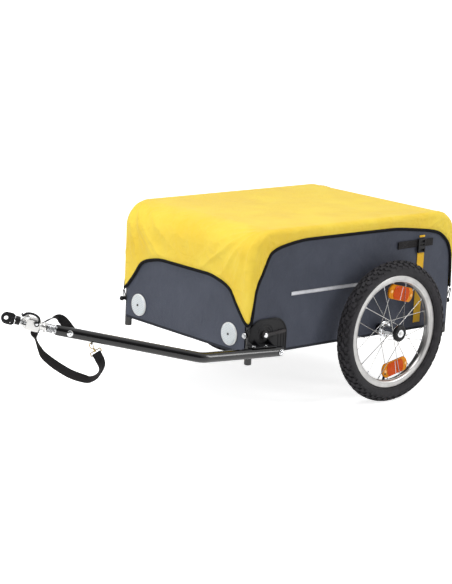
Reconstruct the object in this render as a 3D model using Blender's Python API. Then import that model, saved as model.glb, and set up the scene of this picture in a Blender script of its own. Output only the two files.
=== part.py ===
"""A bicycle cargo trailer: tubular frame, fabric tub with a rain cover, two 16 inch wheels on
quick-release stub axles, and a side drawbar with a sprung coupling and a safety strap.

Metres, +Z up, +X forward to the bicycle, +Y to the left. Inside the script places are measured from
the axle line at the centre of the trailer, on the floor. The root empty stands at AXLE_X, which puts the
origin at the middle of the bounding box, on the floor."""

import math

import bmesh
import bpy
from mathutils import Matrix, Vector

# Clearances
FIT = 0.0003
RUNNING = 0.0003

# Frame
AXLE_X = -0.406
TUBE_R = 0.010
TUBE_WALL = 0.0015
BODY_LENGTH = 0.7448
BODY_WIDTH = 0.5188
AXLE_TO_FRONT = 0.4713
LEG_FOOT_Z = 0.151
RAIL_Z = 0.4955
HOOP_BEND_R = 0.060
TOP_BAR_R = 0.009
TOP_BAR_ANGLE = math.radians(30)
FLOOR_BOARD_T = 0.006

# Fabric tub
PANEL_T = 0.002
PANEL_FOOT_Z = 0.178
PANEL_EDGE_INSET = 0.002
END_PANEL_INSET = 0.0038
BEND_STEPS = 6

# Rain cover: the hem's drop below the rail's centre line, at distances from a leg along each side. The
# lists hold for the measured drops of the tips, and shrink or grow with them
COVER_T = 0.0016
COVER_SAG = 0.005
HEM_R = 0.0032
HEM_TIP_Z = 0.262
HEM_TIP_REAR_Z = 0.290
HEM_DROP_MEASURED = 0.2335
HEM_DROP_REAR_MEASURED = 0.2055
HEM_DROP_FRONT = [
    (0.0, 0.2275), (0.018, 0.209), (0.036, 0.1875), (0.068, 0.1485), (0.105, 0.1335), (0.165, 0.1235),
]
HEM_DROP_SIDE_FRONT = [(0.0, 0.1505), (0.024, 0.0945), (0.052, 0.0435), (0.100, 0.0265), (0.190, 0.0165)]
HEM_DROP_SIDE_REAR = [(0.0, 0.106), (0.024, 0.0635), (0.065, 0.0390), (0.132, 0.0278), (0.253, 0.0170)]

# Wheels
TYRE_R = 0.199
TYRE_WIDTH = 0.047
TYRE_WALL = 0.004
BEAD_T = 0.0022
WHEEL_MID_Y = BODY_WIDTH / 2 + 0.063
RIM_EDGE_R = 0.1585
RIM_BED_R = 0.139
RIM_HALF_WIDTH = 0.012
RIM_WALL = 0.0018
RIM_FLOOR_T = 0.008
WHEEL_STEPS = 32
SPOKE_R = 0.001
SPOKES_PER_FLANGE = 10
SPOKE_CROSS = 2
FLANGE_SPACING = 0.054
FLANGE_R = 0.023
FLANGE_T = 0.004
SPOKE_HOLE_R = 0.0195
SPOKE_STAGGER = 0.0017
HUB_BARREL_R = 0.0115
HUB_HALF_LENGTH = 0.035
HUB_CAP_R = 0.024
HUB_CAP_Y = 0.0300
HUB_CAP_T = 0.007
AXLE_R = 0.00635
AXLE_INNER_Y = BODY_WIDTH / 2 - 0.0574
AXLE_HEAD_R = 0.011
AXLE_HEAD_T = 0.0025
SLEEVE_R = 0.011
SLEEVE_INNER_Y = BODY_WIDTH / 2 - 0.0544
BUTTON_R = 0.0045
BUTTON_DEPTH = 0.014
BUTTON_PROUD = 0.004
BUTTON_TRAVEL = 0.003
SPOKE_REFLECTOR_SIZE = (0.096, 0.041, 0.008)
SPOKE_REFLECTOR_RADIUS = 0.108
SPOKE_REFLECTOR_ANGLES = (104.0, 259.0)

# Reflectors, knobs and buckles on the body
ROUND_REFLECTOR_R = 0.031
ROUND_REFLECTOR_T = 0.007
ROUND_REFLECTOR_Y = BODY_WIDTH / 2 - 0.0634
ROUND_REFLECTOR_Z = 0.223
KNOB_Z = 0.231
KNOB_REAR_Z = 0.243
KNOB_STEM_R = 0.003
KNOB_BALL_R = 0.007
KNOB_REACH = 0.026
BOLT_HEAD_R = 0.005
BOLT_REACH = 0.0175
BOLT_HEAD_T = 0.004
STUD_R = 0.0065
STUD_REACH = 0.0164
STUD_T = 0.0024
TIE_R = 0.0015
TIE_REACH = 0.0146
TIE_TOP_HALF = 0.0022
BUCKLE_TAB_X = AXLE_TO_FRONT - BODY_LENGTH + 0.1485
BUCKLE_TAB_Z = RAIL_Z - 0.069
BUCKLE_TAB = (0.138, 0.021, 0.003)
BUCKLE_BLOCK_X = BUCKLE_TAB_X - 0.021
BUCKLE_BLOCK_Z = BUCKLE_TAB_Z - 0.0075
BUCKLE_BLOCK = (0.028, 0.040, 0.008)

# Drawbar and its mount
DRAWBAR_R = 0.0137
DRAWBAR_Y = BODY_WIDTH / 2 + 0.0400
PIVOT = Vector((0.401, DRAWBAR_Y, 0.187))
DRAWBAR_BEND = Vector((0.664, DRAWBAR_Y, 0.203))
DRAWBAR_END = Vector((0.996, 0.120, 0.279))
DRAWBAR_BEND_R = 0.060
DRAWBAR_TAIL = 0.010
PIVOT_BOLT_R = 0.004
PIVOT_HEAD_R = 0.0075
PIVOT_HEAD_T = 0.005
PLATE_T = 0.004
PLATE_X = (0.351, 0.486)
PLATE_Z = (0.180, 0.273)
PLATE_CORNER_R = 0.046
STOP_FLANGE_T = 0.0035
STOP_FLANGE_RUN = (0.013, 0.095)
STOP_FLANGE_REACH = 0.0085
STOP_BOLTS = (0.046, 0.088)
STOP_BOLT_R = 0.004
STOP_BOLT_T = 0.003
LEVER_PIVOT_X = 0.432
LEVER_PIVOT_Z = 0.230
LEVER_DISC_R = 0.011
LEVER_T = 0.0065
LEVER_ARM = 0.072
LEVER_ARM_W = 0.009
LEVER_RISE = math.radians(4)
LEVER_PIN_R = 0.004

# Coupling, along its own axis from the drawbar's front end to the eye's hole
EYE_CENTRE = Vector((1.106, 0.060, 0.311))
PLUG_STUB = 0.014
PLUG_STUB_R = 0.0108
PLUG_FLANGE_R = 0.0125
PLUG_FLANGE_X = 0.0012
PLUG_FLANGE_T = 0.002
SPRING_R = 0.0103
SPRING_WIRE_R = 0.0012
SPRING_TURNS = 5.5
SPRING_POINTS_PER_TURN = 10
SPRING_LENGTH = 0.023
NECK_R = 0.0095
BLOCK_X = (0.043, 0.082)
BLOCK_HALF = (0.014, 0.016)
BALL_X = 0.0785
BALL_R = 0.009
SHELL_R = 0.014
STEM_R = 0.0045
SLOT_HALF_Z = 0.0052
FRONT_BOSS = (0.0798, 0.0168, 0.006)
REAR_BOSS = (0.0536, 0.0057, 0.007)
BOSS_Y = 0.0147
FRONT_BOSS_Y = 0.017
BAIL_PIN_R = 0.0038
BAIL_R = 0.0031
BAIL_Y = 0.0178
BAIL_ARC = [
    (0.0490, 0.0125), (0.0520, 0.0215), (0.0610, 0.0270), (0.0720, 0.0287), (0.0836, 0.0267), (0.0923, 0.0181),
]
SIDE_CYLINDER = (0.068, 0.088, 0.010, -0.0155, 0.0045)
BOOT_X = (0.0938, 0.1064)
BOOT_R = 0.0115
BOOT_GROOVE_R = 0.0095
BOOT_RIBS = 3
STEM_PIN_R = 0.004
STEM_PIN_L = 0.010
EYE_RING_R = 0.0125
EYE_RING_T = 0.002
EYE_BOSS_R = 0.0075
EYE_BOSS_L = 0.011
EYE_ROUND_X = 0.1262
EYE_R = 0.0158
EYE_HOLE_R = 0.0055
EYE_PLATE_T = 0.006

# Safety strap: along, above and beside the drawbar's axis from its front end, and the turn of its
# width from level (0) to upright (90)
STRAP_WIDTH = 0.024
STRAP_T = 0.0018
STRAP_STEPS = 3
STRAP_BOLT_X = -0.0347
STRAP_BOLT_R = 0.003
STRAP_BOLT_HEAD_R = 0.0082
STRAP_WASHER_R = 0.0085
STRAP_WASHER_T = 0.0025
STRAP_ROUTE = [
    (-0.0530, -0.0078, -0.0153, 90),
    (-0.0440, -0.0002, -0.0153, 90),
    (-0.0345, 0.0078, -0.0153, 90),
    (-0.0202, 0.0200, -0.0175, 88),
    (-0.0088, 0.0262, -0.0210, 72),
    (0.0026, 0.0264, -0.0250, 40),
    (0.0136, 0.0193, -0.0285, 12),
    (0.0244, 0.0103, -0.0315, 8),
    (0.0332, 0.0033, -0.0330, 25),
    (0.0414, -0.0071, -0.0315, 55),
    (0.0461, -0.0215, -0.0295, 72),
    (0.0445, -0.0301, -0.0280, 45),
    (0.0402, -0.0389, -0.0250, 12),
    (0.0268, -0.0583, -0.0180, 25),
    (0.0125, -0.0735, -0.0115, 45),
    (-0.0148, -0.0879, -0.0060, 60),
    (-0.0355, -0.0961, -0.0030, 62),
    (-0.0557, -0.1029, 0.0, 62),
    (-0.0777, -0.1077, 0.0, 60),
    (-0.1034, -0.1103, 0.0, 45),
    (-0.1153, -0.1086, 0.0, 25),
    (-0.1285, -0.0991, 0.0, 10),
    (-0.1348, -0.0867, 0.0, 5),
    (-0.1358, -0.0753, -0.0010, 25),
    (-0.1325, -0.0630, -0.0022, 60),
    (-0.1262, -0.0530, -0.0027, 84),
]
STRAP_LOOP_BACK = 0.016
HOOK_TOP = (-0.0935, -0.0172)
HOOK_FOOT = (-0.1124, -0.0372)
HOOK_WIRE_R = 0.0014
HOOK_LOOP_L = 0.0165
HOOK_HALF_W = 0.0052
HOOK_NOSE = math.radians(75)
HOOK_BARREL_R = 0.0034
HOOK_BARREL_L = 0.005
STRAP_RING_HALF = 0.0148
STRAP_RING_DEPTH = 0.0045
STRAP_RING_CORNER = 0.0022
STRAP_RING_WIRE_R = 0.0014
EYELET_X = -0.0971
EYELET_R = 0.0075
EYELET_WIRE_R = 0.0012

# Worked out from the sizes above
HALF_WIDTH = BODY_WIDTH / 2
X_FRONT = AXLE_TO_FRONT
X_REAR = AXLE_TO_FRONT - BODY_LENGTH
AXLE_Z = TYRE_R
BEND_Z = RAIL_Z - HOOP_BEND_R
PANEL_IN = TUBE_R + FIT
PANEL_OUT = PANEL_IN + PANEL_T
COVER_IN = PANEL_OUT + FIT
COVER_OUT = COVER_IN + COVER_T
HEM_REACH = PANEL_OUT + FIT + HEM_R
HEM_BELOW = HEM_R + FIT + COVER_T / 2 + 0.0006
RIM_INNER_HALF = RIM_HALF_WIDTH - RIM_WALL
HUB_END_Y = WHEEL_MID_Y - HUB_HALF_LENGTH
SLEEVE_OUTER_Y = HUB_END_Y - 2 * FIT
PLATE_Y = HALF_WIDTH + PANEL_OUT + FIT
PLATE_OUT_Y = PLATE_Y + PLATE_T
HITCH_LENGTH = (EYE_CENTRE - DRAWBAR_END).length
SPRING_START = PLUG_FLANGE_X + PLUG_FLANGE_T + FIT
SPRING_X = (SPRING_START, SPRING_START + SPRING_LENGTH)
NECK_X = SPRING_X[1] + FIT
CORNER_ARC = COVER_OUT * math.pi / 2
COVER_GIRTH = 2 * (BODY_LENGTH + BODY_WIDTH) + 4 * CORNER_ARC


def clear_scene():
    for obj in list(bpy.data.objects):
        bpy.data.objects.remove(obj)


def material(name, rgb, roughness, metallic=0.0):
    found = bpy.data.materials.get(name)
    if found:
        return found
    made = bpy.data.materials.new(name)
    made.use_nodes = True
    shader = made.node_tree.nodes["Principled BSDF"]
    shader.inputs["Base Color"].default_value = (*rgb, 1.0)
    shader.inputs["Roughness"].default_value = roughness
    shader.inputs["Metallic"].default_value = metallic
    return made


FINISHES = {
    "frame_black": ((0.012, 0.012, 0.013), 0.35, 0.0),
    "panel_fabric": ((0.068, 0.074, 0.095), 0.75, 0.0),
    "cover_fabric": ((0.84, 0.61, 0.085), 0.65, 0.0),
    "elastic": ((0.015, 0.015, 0.016), 0.8, 0.0),
    "tyre": ((0.018, 0.018, 0.019), 0.8, 0.0),
    "alloy": ((0.62, 0.60, 0.57), 0.35, 1.0),
    "steel": ((0.60, 0.60, 0.60), 0.25, 1.0),
    "black_plastic": ((0.014, 0.014, 0.015), 0.45, 0.0),
    "dark_grey": ((0.05, 0.05, 0.055), 0.45, 0.0),
    "white_reflector": ((0.78, 0.79, 0.80), 0.2, 0.0),
    "red_reflector": ((0.55, 0.02, 0.015), 0.2, 0.0),
    "orange_reflector": ((0.85, 0.16, 0.02), 0.2, 0.0),
    "floor_board": ((0.05, 0.05, 0.055), 0.6, 0.0),
    "webbing": ((0.012, 0.011, 0.012), 0.85, 0.0),
}


def add_object(name, mesh, finish, parent, matrix=None):
    obj = bpy.data.objects.new(name, mesh)
    bpy.context.scene.collection.objects.link(obj)
    if not mesh.materials:
        mesh.materials.append(material(finish, *FINISHES[finish]))
    obj.parent = parent
    if matrix is not None:
        obj.matrix_basis = matrix
    return obj


def axis_empty(name, parent, matrix):
    """An empty whose origin lies on a joint's axis; the moving pieces hang from it."""
    empty = bpy.data.objects.new(name, None)
    empty.empty_display_size = 0.03
    bpy.context.scene.collection.objects.link(empty)
    empty.parent = parent
    empty.matrix_basis = matrix
    return empty


def mesh_of(bm, name="shape"):
    bmesh.ops.recalc_face_normals(bm, faces=bm.faces)
    mesh = bpy.data.meshes.new(name)
    bm.to_mesh(mesh)
    bm.free()
    return mesh


def shade(mesh, degrees=35):
    mesh.shade_smooth()
    mesh.set_sharp_from_angle(angle=math.radians(degrees))
    return mesh


def evaluated_mesh(obj):
    bpy.context.view_layer.update()
    graph = bpy.context.evaluated_depsgraph_get()
    return bpy.data.meshes.new_from_object(obj.evaluated_get(graph))


def boolean(mesh, others, operation):
    """The mesh joined with, or cut by, each of the other meshes."""
    first = bpy.data.objects.new("first", mesh)
    bpy.context.scene.collection.objects.link(first)
    helpers = []
    for other in others:
        helper = bpy.data.objects.new("helper", other)
        bpy.context.scene.collection.objects.link(helper)
        helpers.append(helper)
        modifier = first.modifiers.new("boolean", "BOOLEAN")
        modifier.operation = operation
        modifier.object = helper
    result = evaluated_mesh(first)
    for obj in [first] + helpers:
        bpy.data.objects.remove(obj)
    return result


def union(mesh, *others):
    return boolean(mesh, others, "UNION")


def cut(mesh, *others):
    return boolean(mesh, others, "DIFFERENCE")


def moved(mesh, matrix):
    mesh.transform(matrix)
    return mesh


def join(meshes):
    """Several meshes that don't touch, as one helper mesh."""
    bm = bmesh.new()
    for mesh in meshes:
        bm.from_mesh(mesh)
    joined = bpy.data.meshes.new("joined")
    bm.to_mesh(joined)
    bm.free()
    return joined


def lathe(profile, axis, steps, ring=False):
    """Turns (radius, height) points about an axis. A ring's profile is a closed outline that stays off
    the axis; any other profile starts and ends on it."""
    bm = bmesh.new()
    spots = {"X": lambda r, h: (h, r, 0), "Y": lambda r, h: (r, h, 0), "Z": lambda r, h: (r, 0, h)}[axis]
    verts = [bm.verts.new(spots(r, h)) for r, h in profile]
    pairs = list(zip(verts, verts[1:] + verts[:1])) if ring else list(zip(verts, verts[1:]))
    edges = [bm.edges.new(pair) for pair in pairs]
    turn = {"X": (1, 0, 0), "Y": (0, 1, 0), "Z": (0, 0, 1)}[axis]
    bmesh.ops.spin(
        bm, geom=verts + edges, cent=(0, 0, 0), axis=turn, dvec=(0, 0, 0),
        angle=2 * math.pi, steps=steps, use_merge=True,
    )
    bmesh.ops.remove_doubles(bm, verts=bm.verts, dist=1e-6)
    return shade(mesh_of(bm))


def rod(start, end, radius, sides=16):
    """A solid cylinder between two points."""
    start, end = Vector(start), Vector(end)
    along = end - start
    turn = along.to_track_quat("Z", "Y").to_matrix().to_4x4()
    bm = bmesh.new()
    bmesh.ops.create_cone(
        bm, cap_ends=True, segments=sides, radius1=radius, radius2=radius, depth=along.length,
        matrix=Matrix.Translation((start + end) / 2) @ turn,
    )
    return shade(mesh_of(bm))


def block(low, high, bevel=0.0):
    """A box between two corners, with rounded edges where a bevel is given."""
    low, high = Vector(low), Vector(high)
    size = high - low
    bm = bmesh.new()
    bmesh.ops.create_cube(bm, size=1.0, matrix=Matrix.Translation((low + high) / 2) @ Matrix.Diagonal((*size, 1)))
    if bevel:
        bmesh.ops.bevel(
            bm, geom=list(bm.edges), offset=bevel, offset_type="OFFSET", segments=2, profile=0.5,
            affect="EDGES", clamp_overlap=True, material=-1,
        )
    return shade(mesh_of(bm))


def slab(outline, axis, low, high):
    """A flat outline given thickness along Y or along X."""
    spot = {"Y": lambda a, b: (a, low, b), "X": lambda a, b: (low, a, b)}[axis]
    push = {"Y": (0, high - low, 0), "X": (high - low, 0, 0)}[axis]
    bm = bmesh.new()
    face = bm.faces.new([bm.verts.new(spot(a, b)) for a, b in outline])
    made = bmesh.ops.extrude_face_region(bm, geom=[face])["geom"]
    bmesh.ops.translate(bm, verts=[v for v in made if isinstance(v, bmesh.types.BMVert)], vec=push)
    return shade(mesh_of(bm))


def pipe(points, radius, wall=0.0, resolution=2, cyclic=False):
    """A round tube or rod along points. With a wall it is hollow and open at its ends."""
    curve = bpy.data.curves.new("pipe", "CURVE")
    curve.dimensions = "3D"
    curve.bevel_depth = radius
    curve.bevel_resolution = resolution
    curve.use_fill_caps = not wall and not cyclic
    spline = curve.splines.new("POLY")
    spline.points.add(len(points) - 1)
    for spot, point in zip(points, spline.points):
        point.co = (*spot, 1.0)
    spline.use_cyclic_u = cyclic
    guide = bpy.data.objects.new("pipe", curve)
    bpy.context.scene.collection.objects.link(guide)
    tube = evaluated_mesh(guide)
    bpy.data.objects.remove(guide)
    bm = bmesh.new()
    bm.from_mesh(tube)
    bmesh.ops.remove_doubles(bm, verts=bm.verts, dist=1e-6)
    tube = mesh_of(bm)
    if wall:
        holder = bpy.data.objects.new("holder", tube)
        bpy.context.scene.collection.objects.link(holder)
        solidify = holder.modifiers.new("wall", "SOLIDIFY")
        solidify.thickness = wall
        solidify.offset = -1.0
        tube = evaluated_mesh(holder)
        bpy.data.objects.remove(holder)
    return shade(tube)


def arc(centre, radius, start, end, steps):
    """Points on a circle in a plane, angles in degrees."""
    turns = [math.radians(start + (end - start) * i / steps) for i in range(steps + 1)]
    return [(centre[0] + radius * math.cos(a), centre[1] + radius * math.sin(a)) for a in turns]


def smooth_path(points, steps):
    """Points on a Catmull-Rom curve through each of the given vectors."""
    path = []
    last = len(points) - 1
    for i in range(last):
        before = points[max(i - 1, 0)]
        here, after = points[i], points[i + 1]
        beyond = points[min(i + 2, last)]
        for step in range(steps):
            t = step / steps
            bend = (2 * before - 5 * here + 4 * after - beyond) * t * t
            swing = (3 * here - before - 3 * after + beyond) * t * t * t
            path.append((2 * here + (after - before) * t + bend + swing) / 2)
    path.append(points[-1])
    return path


def monotone(points, girth=None):
    """A smooth curve through (position, value) points with no overshoot. With a girth it closes on itself."""
    spots = sorted(points)
    if girth:
        spots = [(s - girth, v) for s, v in spots[-2:]] + spots + [(s + girth, v) for s, v in spots[:2]]
    gaps = [b[0] - a[0] for a, b in zip(spots, spots[1:])]
    rises = [(b[1] - a[1]) / gap for a, b, gap in zip(spots, spots[1:], gaps)]
    slopes = [rises[0]]
    for left, right, gap, following in zip(rises, rises[1:], gaps, gaps[1:]):
        if left * right <= 0:
            slopes.append(0.0)
        else:
            near, far = 2 * following + gap, following + 2 * gap
            slopes.append((near + far) / (near / left + far / right))
    slopes.append(rises[-1])

    def value(s):
        index = next((i for i, spot in enumerate(spots[1:]) if s <= spot[0]), len(gaps) - 1)
        gap = gaps[index]
        t = (s - spots[index][0]) / gap
        a, b = spots[index][1], spots[index + 1][1]
        return (
            a * (1 + 2 * t) * (1 - t) ** 2 + slopes[index] * gap * t * (1 - t) ** 2
            + b * t * t * (3 - 2 * t) + slopes[index + 1] * gap * t * t * (t - 1)
        )

    return value


# The line round the trailer that the cover hangs from, measured along the cover's outer face
def sides_of_girth():
    """(start, length, leg, direction or None for a corner, turn of the outward side) for each stretch."""
    left, right = HALF_WIDTH, -HALF_WIDTH
    stretches = [
        (BODY_WIDTH, (X_FRONT, right), (0, 1), 0),
        (CORNER_ARC, (X_FRONT, left), None, 0),
        (BODY_LENGTH, (X_FRONT, left), (-1, 0), 90),
        (CORNER_ARC, (X_REAR, left), None, 90),
        (BODY_WIDTH, (X_REAR, left), (0, -1), 180),
        (CORNER_ARC, (X_REAR, right), None, 180),
        (BODY_LENGTH, (X_REAR, right), (1, 0), 270),
        (CORNER_ARC, (X_FRONT, right), None, 270),
    ]
    placed, start = [], 0.0
    for length, leg, direction, facing in stretches:
        placed.append((start, length, leg, direction, facing))
        start += length
    return placed


def around(s, reach):
    """The plan point at s along the girth, at a distance out from the frame's centre line."""
    s %= COVER_GIRTH
    for start, length, leg, direction, facing in sides_of_girth():
        if s <= start + length:
            break
    along = s - start
    if direction is None:
        facing += 90 * along / length
        base = Vector(leg)
    else:
        base = Vector(leg) + Vector(direction) * along
    turn = math.radians(facing)
    return base + reach * Vector((math.cos(turn), math.sin(turn)))


def hem_controls():
    """(position along the girth, drop below the rail) for each point that shapes the scalloped hem."""
    found = []
    front, rear = RAIL_Z - HEM_TIP_Z, RAIL_Z - HEM_TIP_REAR_Z
    for start, length, leg, direction, facing in sides_of_girth():
        end = start + length
        tip = front if leg[0] == X_FRONT else rear
        if direction is None:
            found.append((start + length / 2, tip))
        elif facing in (0, 180):
            share = tip / HEM_DROP_MEASURED
            found += [(start + d, drop * share) for d, drop in HEM_DROP_FRONT]
            found += [(end - d, drop * share) for d, drop in HEM_DROP_FRONT]
        else:
            first = [(d, drop * front / HEM_DROP_MEASURED) for d, drop in HEM_DROP_SIDE_FRONT]
            last = [(d, drop * rear / HEM_DROP_REAR_MEASURED) for d, drop in HEM_DROP_SIDE_REAR]
            if facing == 270:
                first, last = last, first
            found += [(start + d, drop) for d, drop in first]
            found += [(end - d, drop) for d, drop in last]
    return found


def between(values):
    """The values with the middle of each pair put in between."""
    found = []
    for a, b in zip(values, values[1:]):
        found += [a, (a + b) / 2]
    return found + [values[-1]]


def bend_depths():
    """Distances in from a leg at which the hoop's bend has its points."""
    return [HOOP_BEND_R * (1 - math.cos(math.pi / 2 * i / BEND_STEPS)) for i in range(BEND_STEPS + 1)]


def rail_height(x):
    """The hoop's centre line at x: level, with a bend down to each leg."""
    d = min(X_FRONT - x, x - X_REAR)
    if d >= HOOP_BEND_R:
        return RAIL_Z
    return BEND_Z + math.sqrt(max(HOOP_BEND_R ** 2 - (HOOP_BEND_R - max(d, 0.0)) ** 2, 0.0))


def rail_facing(x):
    """The outward direction of the hoop's centre line at x, as (x, z)."""
    if X_FRONT - x < HOOP_BEND_R:
        centre = X_FRONT - HOOP_BEND_R
    elif x - X_REAR < HOOP_BEND_R:
        centre = X_REAR + HOOP_BEND_R
    else:
        return 0.0, 1.0
    reach = Vector((x - centre, rail_height(x) - BEND_Z))
    return tuple(reach / reach.length)


def rain_cover_mesh():
    """One sheet: a top strip that bends over both ends, with skirts down to the scalloped hem."""
    drop = monotone(hem_controls(), COVER_GIRTH)
    stretches = sides_of_girth()
    middle = (X_FRONT - HEM_DROP_SIDE_FRONT[-1][0] + X_REAR + HEM_DROP_SIDE_REAR[-1][0]) / 2
    from_front = bend_depths() + between([d for d, _ in HEM_DROP_SIDE_FRONT if d > HOOP_BEND_R])
    from_rear = bend_depths() + between([d for d, _ in HEM_DROP_SIDE_REAR if d > HOOP_BEND_R])
    xs = [X_FRONT - d for d in from_front] + [middle] + [X_REAR + d for d in reversed(from_rear)]
    across = [HALF_WIDTH - d for d, _ in HEM_DROP_FRONT]
    ys = across + [0.0] + [-y for y in reversed(across)]
    bm = bmesh.new()

    def sag(x, y):
        u = (x - (X_FRONT + X_REAR) / 2) / (BODY_LENGTH / 2 - HOOP_BEND_R)
        v = y / HALF_WIDTH
        return COVER_SAG * max(1 - u * u, 0.0) * max(1 - v * v, 0.0)

    def crossing(x):
        """One row of the top strip, from the left side over to the right side."""
        z = rail_height(x)
        nx, nz = rail_facing(x)
        row = []
        near, far = [(HALF_WIDTH, 90), (HALF_WIDTH, 45)], [(-HALF_WIDTH, -45), (-HALF_WIDTH, -90)]
        for y, tilt in near + [(y, 0) for y in ys] + far:
            turn = math.radians(tilt)
            out = COVER_OUT * math.cos(turn)
            low = sag(x, y) if tilt == 0 else 0.0
            row.append(bm.verts.new((x + out * nx, y + COVER_OUT * math.sin(turn), z + out * nz - low)))
        return row

    def skirt(tops, depths, steps):
        """Columns hanging from a row of vertices down to the hem."""
        columns = []
        for top, foot in zip(tops, depths):
            column = [top]
            for step in range(1, steps + 1):
                share = step / steps
                column.append(bm.verts.new((top.co.x, top.co.y, top.co.z + (foot - top.co.z) * share)))
            columns.append(column)
        for first, second in zip(columns, columns[1:]):
            for i in range(steps):
                bm.faces.new((first[i], first[i + 1], second[i + 1], second[i]))
        return columns

    rows = [crossing(x) for x in xs]
    for first, second in zip(rows, rows[1:]):
        for i in range(len(first) - 1):
            bm.faces.new((first[i], first[i + 1], second[i + 1], second[i]))

    left_start, right_start = stretches[2][0], stretches[6][0]
    left_hem = [RAIL_Z - drop(left_start + X_FRONT - x) for x in xs]
    right_hem = [RAIL_Z - drop(right_start + x - X_REAR) for x in xs]
    skirt([row[0] for row in rows], left_hem, 2)
    skirt([row[-1] for row in rows], right_hem, 2)
    front_spots = [BODY_WIDTH + CORNER_ARC, BODY_WIDTH + CORNER_ARC / 2]
    front_spots += [HALF_WIDTH + y for y in ys]
    front_spots += [COVER_GIRTH - CORNER_ARC / 2, COVER_GIRTH - CORNER_ARC]
    rear = stretches[4][0]
    rear_spots = [rear - CORNER_ARC, rear - CORNER_ARC / 2] + [rear + HALF_WIDTH - y for y in ys]
    rear_spots += [rear + BODY_WIDTH + CORNER_ARC / 2, rear + BODY_WIDTH + CORNER_ARC]
    skirt(rows[0], [RAIL_Z - drop(s) for s in front_spots], 2)
    skirt(rows[-1], [RAIL_Z - drop(s) for s in rear_spots], 2)
    bmesh.ops.remove_doubles(bm, verts=bm.verts, dist=1e-5)
    sheet = mesh_of(bm)
    holder = bpy.data.objects.new("sheet", sheet)
    bpy.context.scene.collection.objects.link(holder)
    solidify = holder.modifiers.new("cloth", "SOLIDIFY")
    solidify.thickness = COVER_T
    solidify.offset = -1.0
    solidify.use_even_offset = True
    made = evaluated_mesh(holder)
    bpy.data.objects.remove(holder)
    return shade(made, 50)


def hem_path():
    """The elastic's centre line: the hem's curve moved down and square to itself, clear of the sheet."""
    drop = monotone(hem_controls(), COVER_GIRTH)
    spots = between(sorted({round(s % COVER_GIRTH, 6) for s, _ in hem_controls()}) + [COVER_GIRTH])[:-1]
    path = []
    for s in spots:
        step = 0.002
        slope = -(drop(s + step) - drop(s - step)) / (2 * step)
        length = math.hypot(1.0, slope)
        shifted = s + HEM_BELOW * slope / length
        height = RAIL_Z - drop(s) - HEM_BELOW / length
        path.append(Vector((*around(shifted, HEM_REACH), height)))
    return path


def tyre_mesh():
    """A hollow carcass, open at the beads, which sit against the rim's walls."""
    bead_r = RIM_BED_R + RIM_FLOOR_T + 0.0033
    bead_y = RIM_INNER_HALF - FIT
    half = TYRE_WIDTH / 2
    middle_r = TYRE_R - half
    outer = [
        (bead_r, bead_y), (RIM_EDGE_R + 2 * FIT, bead_y), (middle_r - 0.30 * half, 0.92 * half),
        (middle_r + 0.25 * half, 0.98 * half), (middle_r + 0.78 * half, 0.68 * half),
    ]
    inner_half = half - TYRE_WALL
    inner = [(bead_r, bead_y - BEAD_T), (RIM_EDGE_R + 0.003, bead_y - BEAD_T), (middle_r + 0.1 * half, inner_half)]
    ring = outer + [(TYRE_R, 0.0)] + [(r, -y) for r, y in reversed(outer)]
    ring += [(r, -y) for r, y in inner] + [(TYRE_R - TYRE_WALL, 0.0)] + [(r, y) for r, y in reversed(inner)]
    return lathe(ring, "Y", WHEEL_STEPS, ring=True)


def rim_mesh():
    """A channel section: two walls that hold the beads, and the bed that the spokes pull on."""
    edge = RIM_HALF_WIDTH
    inner = RIM_INNER_HALF
    floor_r = RIM_BED_R + RIM_FLOOR_T
    half = [
        (RIM_BED_R, 0.6 * edge), (RIM_BED_R + 0.006, edge), (RIM_EDGE_R, edge), (RIM_EDGE_R, inner),
        (floor_r + 0.002, inner), (floor_r, 0.75 * inner),
    ]
    outline = half + [(r, -y) for r, y in reversed(half)]
    return lathe(outline, "Y", WHEEL_STEPS, ring=True)


def spoke_ends():
    """(hub end, rim end) of each spoke: both flanges, crossed, seen in the wheel's own frame."""
    found = []
    pitch = 2 * math.pi / SPOKES_PER_FLANGE
    reach = RIM_BED_R * math.cos(math.pi / WHEEL_STEPS) - 2 * FIT
    for side in (1, -1):
        for i in range(SPOKES_PER_FLANGE):
            lean = -1 if i % 2 else 1
            hub_turn = pitch * (i + (0.5 if side < 0 else 0.0))
            rim_turn = hub_turn + lean * SPOKE_CROSS * pitch
            y = side * FLANGE_SPACING / 2 + lean * SPOKE_STAGGER
            found.append((
                Vector((SPOKE_HOLE_R * math.cos(hub_turn), y, SPOKE_HOLE_R * math.sin(hub_turn))),
                Vector((reach * math.cos(rim_turn), side * 0.002, reach * math.sin(rim_turn))),
            ))
    return found


def hub_mesh():
    """Barrel with two flanges and a bore for the stub axle, and the spokes joined to it."""
    bore = AXLE_R + RUNNING
    half = FLANGE_SPACING / 2
    near, far = half - FLANGE_T / 2, half + FLANGE_T / 2
    end_r = HUB_BARREL_R
    profile = [
        (bore, -HUB_HALF_LENGTH), (end_r, -HUB_HALF_LENGTH), (end_r, -far), (FLANGE_R, -far),
        (FLANGE_R, -near), (HUB_BARREL_R, -near), (HUB_BARREL_R, near), (FLANGE_R, near),
        (FLANGE_R, far), (end_r, far), (end_r, HUB_HALF_LENGTH), (bore, HUB_HALF_LENGTH),
    ]
    hub = lathe(profile, "Y", 16, ring=True)
    spokes = [rod(a, b, SPOKE_R, 5) for a, b in spoke_ends()]
    return shade(union(hub, join(spokes)))


def hub_cap_mesh():
    """The ribbed ring outside the outer flange, round the hub's end."""
    start = HUB_CAP_Y
    bore = HUB_BARREL_R + FIT
    profile = [
        (bore, start), (HUB_CAP_R, start), (HUB_CAP_R, start + 0.6 * HUB_CAP_T),
        (0.75 * HUB_CAP_R, start + HUB_CAP_T), (bore, start + HUB_CAP_T),
    ]
    return lathe(profile, "Y", 16, ring=True)


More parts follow.
